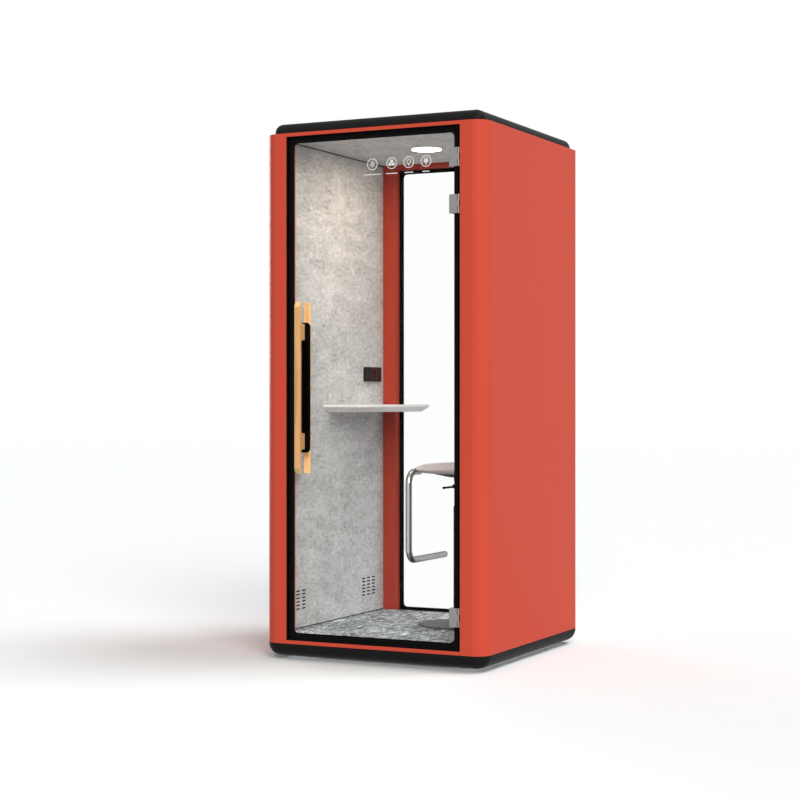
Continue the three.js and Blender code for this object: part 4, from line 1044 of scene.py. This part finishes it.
class POD_OT_handles(PodOperator, bpy.types.Operator):
    """Mills the two wooden pull handles, each from one bar with two filleted feet"""

    bl_idname = "pod.handles"
    bl_label = "Handles"

    stand = 0.044
    bar_thick = 0.016
    end_cut = 0.022
    feet = ((0.870, 0.936), (1.318, 1.384))

    def build(self, sizes):
        low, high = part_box("outer_handle")
        put_together(self.handle("outer_pull", low.x, high.x, low.z, high.z, low.y + self.stand, -1),
                     "door", "handle_wood", finish("oiled_wood"), "outer_handle")
        low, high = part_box("inner_handle")
        put_together(self.handle("inner_pull", low.x, high.x, low.z, high.z, low.y, 1),
                     "door", "handle_wood", finish("oiled_wood"), "inner_handle")

    def handle(self, name, x0, x1, z0, z1, face, side):
        back = face + side * (self.stand - self.bar_thick)
        front = face + side * self.stand
        bar = block(name, (x0, min(back, front), z0), (x1, max(back, front), z1))
        with editing(bar, "VERT"):
            pick(bar, lambda v: near(v.co.y, front) and near(v.co.z, z1))
            shift((0, 0, -self.end_cut))
            pick(bar, lambda v: near(v.co.y, front) and near(v.co.z, z0))
            shift((0, 0, self.end_cut))
            for z in (level for foot in self.feet for level in foot):
                bpy.ops.mesh.select_all(action="SELECT")
                bpy.ops.mesh.bisect(plane_co=(0, 0, z), plane_no=(0, 0, 1))
        with editing(bar, "FACE"):
            for foot in self.feet:
                middle = sum(foot) / 2
                pick(bar, lambda f: faces_to(f, (0, -side, 0)) and near(f.calc_center_median().z, middle, 0.002))
                push((0, face - back, 0))
        fillet = 0.010
        round_edges(bar, lambda e: e.is_manifold and not e.is_convex and e.calc_face_angle() > 1.0, fillet, 6)
        crown = 0.0095
        round_edges(bar, lambda e: ends_at(e, "Y", front) and runs_along(e, "Z"), crown, 8)
        soften(bar, 0.0014, 3, angle=30)
        return smooth(bar, 26)


class POD_OT_back_window(PodOperator, bpy.types.Operator):
    """Makes the back window: orange frame, glass, black print and outer bead"""

    bl_idname = "pod.back_window"
    bl_label = "Back window"

    def build(self, sizes):
        low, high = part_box("back_inner_frame")
        inner = ((-sizes.window_half, sizes.window_low), (sizes.window_half, sizes.window_high))
        surround = ring_frame("back_window_frame", low, high, *inner)
        soften(surround, sizes.edge)
        put_together(surround, "pod", "orange_lacquer", finish("lacquer_painted_shade"), "back_inner_frame")
        gap, strip = 0.0003, 0.0016
        sill = block("back_window_sill", (-sizes.window_half + gap, low.y + gap, sizes.window_low + gap),
                     (sizes.window_half - gap, high.y - gap, sizes.window_low + strip))
        soften(sill, gap)
        put_together(sill, "pod", "black_profile", finish("black_profile"))
        low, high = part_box("back_glass")
        pane = block("back_pane", low, high)
        polish(pane)
        put_together(pane, "pod", "clear_glass", finish("clear_glass"), "back_glass")
        thick = 0.0004
        border = ring_frame("back_window_print", (low.x + 0.004, low.y - thick, low.z + 0.004),
                            (high.x - 0.004, low.y - thick / 8, high.z - 0.004),
                            (-sizes.print_half, sizes.print_low), (sizes.print_half, sizes.print_high),
                            sizes.print_corner)
        put_together(border, "pod", "black_print", finish("black_enamel"))
        low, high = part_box("back_bead")
        wide = 0.0304
        bead = ring_frame("back_window_bead", low, high, (low.x + wide, low.z + wide), (high.x - wide, high.z - wide))
        soften(bead, sizes.edge)
        put_together(bead, "pod", "black_profile", finish("black_profile"), "back_bead")


class POD_OT_lining(PodOperator, bpy.types.Operator):
    """Finishes the felt, makes the carpet pile, the shadow joints and the ceiling light"""

    bl_idname = "pod.lining"
    bl_label = "Lining"

    def build(self, sizes):
        paint_nodes(finish("needle_felt"), "left_felt", "right_felt", "ceiling_panel")
        self.carpet()
        self.joints()
        self.vents()
        self.light()

    @staticmethod
    def carpet():
        low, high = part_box("floor_carpet")
        pile = block("carpet_pile", low, high)
        with editing(pile, "FACE"):
            pick(pile, lambda f: faces_to(f, (0, 0, 1)))
            bpy.ops.mesh.subdivide(number_cuts=99)
        group = pile.vertex_groups.new(name="top")
        edge = 0.002
        group.add([v.index for v in pile.data.vertices if v.co.z > high.z - TOUCH
                   and low.x + edge < v.co.x < high.x - edge and low.y + edge < v.co.y < high.y - edge], 1.0, "REPLACE")
        loops = bpy.data.textures.new("loops", "CLOUDS")
        loops.noise_scale = 0.011
        loops.noise_depth = 1
        finish_with(pile, "DISPLACE", texture=loops, texture_coords="LOCAL", direction="Z", strength=0.0022,
                    mid_level=1.0, vertex_group="top")
        smooth(pile, 60)
        put_together(pile, "pod", "carpet", finish("loop_carpet"), "floor_carpet")

    @staticmethod
    def joints():
        """Black shadow joints where the felt walls meet the ceiling and the carpet."""
        tall, proud = 0.0042, 0.0012
        carpet_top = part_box("floor_carpet")[1].z
        for side, inward in (("left", 1), ("right", -1)):
            low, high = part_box(f"{side}_felt")
            face = high.x if side == "left" else low.x
            xs = sorted((face - inward * proud, face + inward * proud))
            for place, z in (("upper", high.z - tall), ("lower", carpet_top)):
                strip = block(f"{side}_{place}_joint", (xs[0], low.y, z), (xs[1], high.y, z + tall))
                soften(strip, 0.0003, 2)
                put_together(strip, "pod", "black_profile", finish("black_profile"))

    @staticmethod
    def vents():
        """Black inserts set a little behind the face of the felt in every vent slot: painted shade in the slots."""
        long, tall, pitch_y, pitch_z, columns, rows = 0.033, 0.0065, 0.048, 0.015, 3, 6
        first_z, starts = 0.190, (-0.4145, 0.2325)
        low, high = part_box("left_felt")
        clear, sunk = 0.0001, 0.0006
        shade_insert = block("vent_painted_shade", (low.x + sunk, starts[0] + clear, first_z + clear),
                      (high.x - sunk, starts[0] + long - clear, first_z + tall - clear))
        round_edges(shade_insert, lambda e: runs_along(e, "X"), tall * 0.45, 4)
        soften(shade_insert, 0.0002, 2, angle=50)
        places = [(0, start - starts[0] + column * pitch_y, row * pitch_z)
                  for start in starts for column in range(columns) for row in range(rows)]
        gather(shade_insert, *[copy_at(shade_insert, "slot_painted_shade", place) for place in places[1:]])
        put_together(shade_insert, "pod", "black_profile", finish("black_profile"))

    @staticmethod
    def light():
        low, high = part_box("light_housing")
        centre = (low + high) / 2
        radius = (high.x - low.x) / 2
        flange = 0.0012
        rim = cylinder("light_rim", (centre.x, centre.y, low.z + flange / 2), radius, flange, sides=96)
        with editing(rim, "FACE"):
            pick(rim, lambda f: abs(f.normal.z) > 0.999)
            bpy.ops.mesh.inset(thickness=0.0072)
            bpy.ops.mesh.bridge_edge_loops()
        soften(rim, 0.0004, 2)
        put_together(rim, "pod", "white_trim", finish("satin_white"))
        paint_nodes(finish("satin_white"), "light_housing")
        low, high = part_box("light_diffuser")
        opal = cylinder("light_opal", (low + high) / 2, (high.x - low.x) / 2, high.z - low.z, sides=96)
        with editing(opal, "FACE"):
            pick(opal, lambda f: faces_to(f, (0, 0, -1)))
            bpy.ops.mesh.inset(thickness=0.006)
            shift((0, 0, -0.0003))
        soften(opal, 0.0002, 2)
        put_together(opal, "pod", "diffuser", finish("opal_diffuser"), "light_diffuser")


class POD_OT_desk(PodOperator, bpy.types.Operator):
    """Makes the desk top with its undercut free edges"""

    bl_idname = "pod.desk"
    bl_label = "Desk"

    def build(self, sizes):
        low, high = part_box("desk_top")
        free = low.x + 0.05
        desk = block("desk_board", low, high)
        with editing(desk, "VERT"):
            pick(desk, lambda v: near(v.co.x, high.x) and near(v.co.y, low.y))
            shift((-sizes.desk_taper, 0, 0))
            bpy.ops.mesh.select_all(action="SELECT")
            bpy.ops.mesh.bisect(plane_co=(0, 0, high.z - sizes.desk_land), plane_no=(0, 0, 1))
            pick(desk, lambda v: near(v.co.z, low.z) and v.co.x > free)
            shift((-sizes.desk_undercut, 0, 0))
            pick(desk, lambda v: near(v.co.z, low.z) and near(v.co.y, low.y))
            shift((0, sizes.desk_undercut, 0))
        reach = low.y + sizes.desk_undercut + TOUCH
        round_edges(desk, lambda e: all(v.co.x > free and v.co.y < reach for v in e.verts)
                    and abs(e.verts[0].co.z - e.verts[1].co.z) > TOUCH, sizes.desk_corner, 8)
        soften(desk, 0.0016, 3, angle=25)
        put_together(desk, "pod", "desk_white", finish("white_laminate"), "desk_top")


class POD_OT_power_panel(PodOperator, bpy.types.Operator):
    """Makes the wall panel: rim plate, socket face and two rockers"""

    bl_idname = "pod.power_panel"
    bl_label = "Power panel"

    rim = 0.005

    def build(self, sizes):
        low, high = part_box("power_plate")
        plate = block("panel_plate", low, high)
        round_edges(plate, lambda e: runs_along(e, "X"), 0.004, 6)
        y_switch, y_socket = (0.2515, 0.2955), (0.3015, 0.4025)
        z0, z1 = low.z + self.rim, high.z - self.rim
        through = 0.002
        for y0, y1 in (y_switch, y_socket):
            carve(plate, block("field", (low.x - through, y0, z0), (high.x + through, y1, z1)))
        soften(plate, 0.0008, 3)
        put_together(plate, "pod", "switch_black", finish("switch_plastic"), "power_plate")
        self.socket(high.x, y_socket, z0, z1)
        for name in ("light", "fan"):
            self.rocker(name)

    def socket(self, front, span, z0, z1):
        low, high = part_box("power_block")
        gap, set_back = 0.0003, 0.0003
        face = block("socket_face", (low.x, span[0] + gap, z0 + gap), (front - set_back, span[1] - gap, z1 - gap))
        middle = (z0 + z1) / 2
        y_left, y_right = span[0] + 0.031, span[0] + 0.066
        well = cylinder("well", (front, y_left, middle), 0.0195, 0.012, "X", 48)
        carve(face, well)
        for y, z in ((y_left - 0.008, middle), (y_left + 0.008, middle)):
            carve(face, cylinder("pin", (front - 0.01, y, z), 0.0024, 0.02, "X", 20))
        for z in (middle - 0.012, middle + 0.012):
            carve(face, block("port", (front - 0.01, y_right + 0.004, z - 0.0035), (front + 0.01, y_right + 0.019, z + 0.0035)))
            tongue = block("tongue", (front - 0.009, y_right + 0.0055, z - 0.001), (front - 0.002, y_right + 0.0175, z + 0.001))
            gather(face, tongue)
        soften(face, 0.0005, 2)
        put_together(face, "pod", "socket_brown", finish("socket_plastic"), "power_block")

    @staticmethod
    def rocker(name):
        """A key whose two halves slope from its middle, resting with its upper half in."""
        node = f"{name}_switch"
        low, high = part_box(node)
        middle = Vector((-0.4235, 0, (low.z + high.z) / 2))
        half, back, proud = 0.02625, 0.003, 0.006
        tilt = math.radians(5)
        key = block(f"{name}_rocker_key", (middle.x - back, low.y, middle.z - half), (middle.x + proud, high.y, middle.z + half))
        with editing(key, "VERT"):
            bpy.ops.mesh.select_all(action="SELECT")
            bpy.ops.mesh.bisect(plane_co=middle, plane_no=(0, 0, 1))
            pick(key, lambda v: near(v.co.z, middle.z) and v.co.x > middle.x)
            shift((math.tan(tilt) * half, 0, 0))
        soften(key, 0.0007, 3, angle=12)
        with editing(key, "VERT"):
            bpy.ops.mesh.select_all(action="SELECT")
            bpy.ops.transform.rotate(value=tilt, orient_axis="Y", center_override=middle)
        put_together(key, f"{name}_rocker", "switch_black", finish("switch_plastic"), node)


class POD_OT_stool(PodOperator, bpy.types.Operator):
    """Makes the stool's base, gas spring, mechanism, lever and bent tube"""

    bl_idname = "pod.stool"
    bl_label = "Stool"

    leg_in_seat = 0.056

    def build(self, sizes):
        low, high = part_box("stool_base")
        self.axis = (low + high) / 2
        self.base(low, high)
        self.piston()
        self.mechanism()
        self.lever()
        self.tube(sizes)

    def base(self, low, high):
        radius, plate, column, bore = (high.x - low.x) / 2, 0.005, 0.025, 0.0143
        disc = cylinder("stool_foot_plate", (self.axis.x, self.axis.y, low.z + plate / 2), radius, plate, sides=128)
        rim = 0.003
        round_edges(disc, lambda e: ends_at(e, "Z", low.z + plate), rim, 5)
        foot, flare = 0.012, 0.013
        with editing(disc, "FACE"):
            pick(disc, lambda f: faces_to(f, (0, 0, 1)) and f.calc_area() > 0.01)
            bpy.ops.mesh.inset(thickness=radius - rim - column - foot)
            push((0, 0, flare * 0.35))
            self.narrow(column + foot, column + foot * 0.35)
            push((0, 0, flare * 0.65))
            self.narrow(column + foot * 0.35, column)
            push((0, 0, high.z - low.z - plate - flare))
            bpy.ops.mesh.inset(thickness=column - bore)
            push((0, 0, -0.29))
        soften(disc, 0.0015, 3, angle=50)
        put_together(disc, "pod", "stool_plate", finish("dark_plate"), "stool_base")

    def narrow(self, before, after):
        ratio = after / before
        bpy.ops.transform.resize(value=(ratio, ratio, 1), center_override=(self.axis.x, self.axis.y, 0))

    def piston(self):
        low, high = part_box("stool_piston")
        rod = cylinder("gas_spring_rod", (low + high) / 2, (high.x - low.x) / 2, high.z - low.z, sides=64)
        soften(rod, 0.002, 3)
        put_together(rod, "stool_post", "bright_tube", finish("bright_tube"), "stool_piston")

    def mechanism(self):
        """A pressed plate that thins out towards its rim, over a collar and the lever's two cheeks."""
        low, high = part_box("stool_mechanism")
        plate_z, socket_z, rim, neck = 0.742, 0.746, 0.002, 0.034
        plate = block("seat_plate", (low.x, low.y, plate_z), high)
        half = (high - low) / 2
        with editing(plate, "VERT"):
            bpy.ops.mesh.select_all(action="SELECT")
            bpy.ops.mesh.bisect(plane_co=(0, 0, high.z - rim), plane_no=(0, 0, 1))
            pick(plate, lambda v: near(v.co.z, plate_z))
            bpy.ops.transform.resize(value=(neck / half.x, neck / half.y, 1), center_override=(self.axis.x, self.axis.y, plate_z))
        round_edges(plate, lambda e: abs(e.verts[0].co.z - e.verts[1].co.z) > TOUCH, 0.014, 5)
        clear_selection()
        bpy.ops.mesh.primitive_cone_add(vertices=64, radius1=0.019, radius2=0.024, depth=plate_z - low.z + 0.001,
                                        location=(self.axis.x, self.axis.y, (plate_z + low.z + 0.001) / 2))
        collar = named("collar")
        z = self.lever_height()
        cheeks = [block("cheek", (self.axis.x + x - 0.002, self.axis.y - 0.050, z - 0.007),
                        (self.axis.x + x + 0.002, self.axis.y - 0.014, z + 0.009)) for x in (-0.008, 0.008)]
        unite(plate, collar, *cheeks)
        carve(plate, cylinder("socket", (self.axis.x, self.axis.y, (low.z + socket_z) / 2), 0.0143,
                              socket_z - low.z + 0.002))
        soften(plate, 0.0006, 2, angle=45)
        put_together(plate, "stool_seat", "black_moulding", finish("textured_moulding"), "stool_mechanism")

    @staticmethod
    def lever_height():
        low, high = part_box("stool_lever")
        return (low.z + high.z) / 2

    def lever(self):
        low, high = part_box("stool_lever")
        pivot_y, z = self.axis.y - 0.040, self.lever_height()
        x, grip = self.axis.x, 0.022
        arm = cylinder("height_lever_arm", (x, (low.y + grip + pivot_y) / 2, z), 0.0044, pivot_y - low.y - grip, "Y", 32)
        with editing(arm, "FACE"):
            pick(arm, lambda f: faces_to(f, (0, -1, 0)))
            for depth, grow in ((0.004, 1.15), (0.012, 1.06), (0.004, 0.84), (0.002, 0.55)):
                push((0, -depth, 0))
                bpy.ops.transform.resize(value=(grow, 1, grow), center_override=(x, 0, z))
        unite(arm, cylinder("eye", (x, pivot_y, z), 0.0055, 0.010, "X", 32))
        soften(arm, 0.0005, 2, angle=50)
        put_together(arm, "height_lever", "black_moulding", finish("black_rubber"), "stool_lever")

    def tube(self, sizes):
        """The tube is drawn from its free end: foot bar, bend, upright, bend and the leg in the seat."""
        low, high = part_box("stool_footrest")
        radius = (high.x - low.x) / 2
        x = (low.x + high.x) / 2
        bend = sizes.tube_bend
        bar_z, top_z, back_y = low.z + radius, high.z - radius, low.y + radius
        clear_selection()
        bpy.ops.mesh.primitive_circle_add(vertices=40, radius=radius, location=(x, high.y - 0.010, bar_z), rotation=TURN["Y"])
        tube = named("bent_tube")
        quarter = math.pi / 2
        with editing(tube, "EDGE"):
            bpy.ops.mesh.select_all(action="SELECT")
            push((0, back_y + bend - (high.y - 0.010), 0))
            bpy.ops.mesh.spin(steps=18, angle=quarter, center=(x, back_y + bend, bar_z + bend), axis=(1, 0, 0))
            push((0, 0, top_z - bar_z - 2 * bend))
            bpy.ops.mesh.spin(steps=18, angle=quarter, center=(x, back_y + bend, top_z - bend), axis=(1, 0, 0))
            push((0, self.leg_in_seat, 0))
            bpy.ops.mesh.edge_face_add()
            pick(tube, lambda e: ends_at(e, "Y", high.y - 0.010) and e.is_boundary)
            for depth, ratio in ((0.0045, 0.955), (0.0030, 0.86), (0.0017, 0.70), (0.0008, 0.40)):
                push((0, depth, 0))
                bpy.ops.transform.resize(value=(ratio, 1, ratio), center_override=(x, 0, bar_z))
            bpy.ops.mesh.edge_face_add()
        outward(tube)
        smooth(tube, 50)
        put_together(tube, "stool_seat", "bright_tube", finish("bright_tube"), "stool_footrest")


class POD_OT_seat(PodOperator, bpy.types.Operator):
    """Upholsters the seat: a foam shape whose cover is blown up by a short cloth run"""

    bl_idname = "pod.seat"
    bl_label = "Seat"

    def build(self, sizes):
        swell = sizes.seat_swell
        seat = self.foam(swell * 0.6)
        self.inflate(seat, swell)
        finish_with(seat, "SUBSURF", levels=1, render_levels=1)
        smooth(seat, 70)
        put_together(seat, "stool_seat", "seat_fabric", finish("woven_cover"), "stool_cushion")

    @staticmethod
    def foam(shrink):
        """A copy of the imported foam, evenly remeshed and a little smaller than its cover will be."""
        seat = bpy.data.objects.new("seat_cushion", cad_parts["stool_cushion"].data.copy())
        seat.data.name = seat.name
        bpy.context.collection.objects.link(seat)
        outward(seat)
        seat.data.remesh_voxel_size = 0.005
        bpy.ops.object.voxel_remesh()
        with editing(seat, "VERT"):
            bpy.ops.mesh.select_all(action="SELECT")
            bpy.ops.transform.shrink_fatten(value=-shrink)
        return seat

    @staticmethod
    def inflate(seat, swell):
        before = [v.co.copy() for v in seat.data.vertices]
        take(seat)
        cloth = seat.modifiers.new("Cloth", "CLOTH")
        cloth.settings.use_pressure = True
        cloth.settings.uniform_pressure_force = 4.0
        cloth.settings.effector_weights.gravity = 0.0
        cloth.settings.quality = 6
        scene = bpy.context.scene
        for step in range(1, 21):
            scene.frame_set(step)
        bpy.ops.object.modifier_apply(modifier=cloth.name)
        scene.frame_set(1)
        for vertex, start in zip(seat.data.vertices, before):
            move = vertex.co - start
            if move.length > swell:
                vertex.co = start + move.normalized() * swell


class POD_OT_hidden_parts(PodOperator, bpy.types.Operator):
    """Finishes the parts that stay as packed: frame, feet, cores, deck, fan and desk supports"""

    bl_idname = "pod.hidden_parts"
    bl_label = "Hidden parts"

    def build(self, sizes):
        feet = [f"levelling_foot_{end}_{side}" for end in ("front", "back") for side in ("left", "right")]
        paint_nodes(finish("black_rubber"), *feet)
        paint_nodes(finish("plated_steel"), "base_frame", "desk_support_front", "desk_support_rear")
        paint_nodes(finish("birch_board"), "floor_cassette", "roof_deck")
        paint_nodes(finish("mineral_fibre"), "left_core", "right_core")
        paint_nodes(finish("satin_white"), "light_driver")
        paint_nodes(finish("textured_moulding"), "fan_housing", "fan_rotor", "power_inlet")


STEPS = ("stage", "base", "walls", "roof", "door_surround", "door_leaf", "hinges", "handles", "back_window",
         "lining", "desk", "power_panel", "stool", "seat", "hidden_parts")


class POD_PT_panel(bpy.types.Panel):
    """Lists the steps that build the pod"""

    bl_idname = "POD_PT_panel"
    bl_label = "Acoustic office pod"
    bl_space_type = "VIEW_3D"
    bl_region_type = "UI"
    bl_category = "Pod"

    def draw(self, context):
        for step in STEPS:
            self.layout.operator(f"pod.{step}")
        for group in (context.scene.pod_sizes, context.scene.pod_colours, context.scene.pod_stage):
            for key in group.__annotations__:
                self.layout.prop(group, key)


CLASSES = (
    PodSizes, PodColours, PodStage, POD_OT_stage, POD_OT_base, POD_OT_walls, POD_OT_roof, POD_OT_door_surround,
    POD_OT_door_leaf, POD_OT_hinges, POD_OT_handles, POD_OT_back_window, POD_OT_lining, POD_OT_desk,
    POD_OT_power_panel, POD_OT_stool, POD_OT_seat, POD_OT_hidden_parts, POD_PT_panel,
)


def register():
    for item in CLASSES:
        bpy.utils.register_class(item)
    bpy.types.Scene.pod_sizes = PointerProperty(type=PodSizes)
    bpy.types.Scene.pod_colours = PointerProperty(type=PodColours)
    bpy.types.Scene.pod_stage = PointerProperty(type=PodStage)


def unregister():
    del bpy.types.Scene.pod_sizes, bpy.types.Scene.pod_colours, bpy.types.Scene.pod_stage
    for item in reversed(CLASSES):
        bpy.utils.unregister_class(item)


def main():
    register()
    for step in STEPS:
        getattr(bpy.ops.pod, step)()


if __name__ == "__main__":
    main()
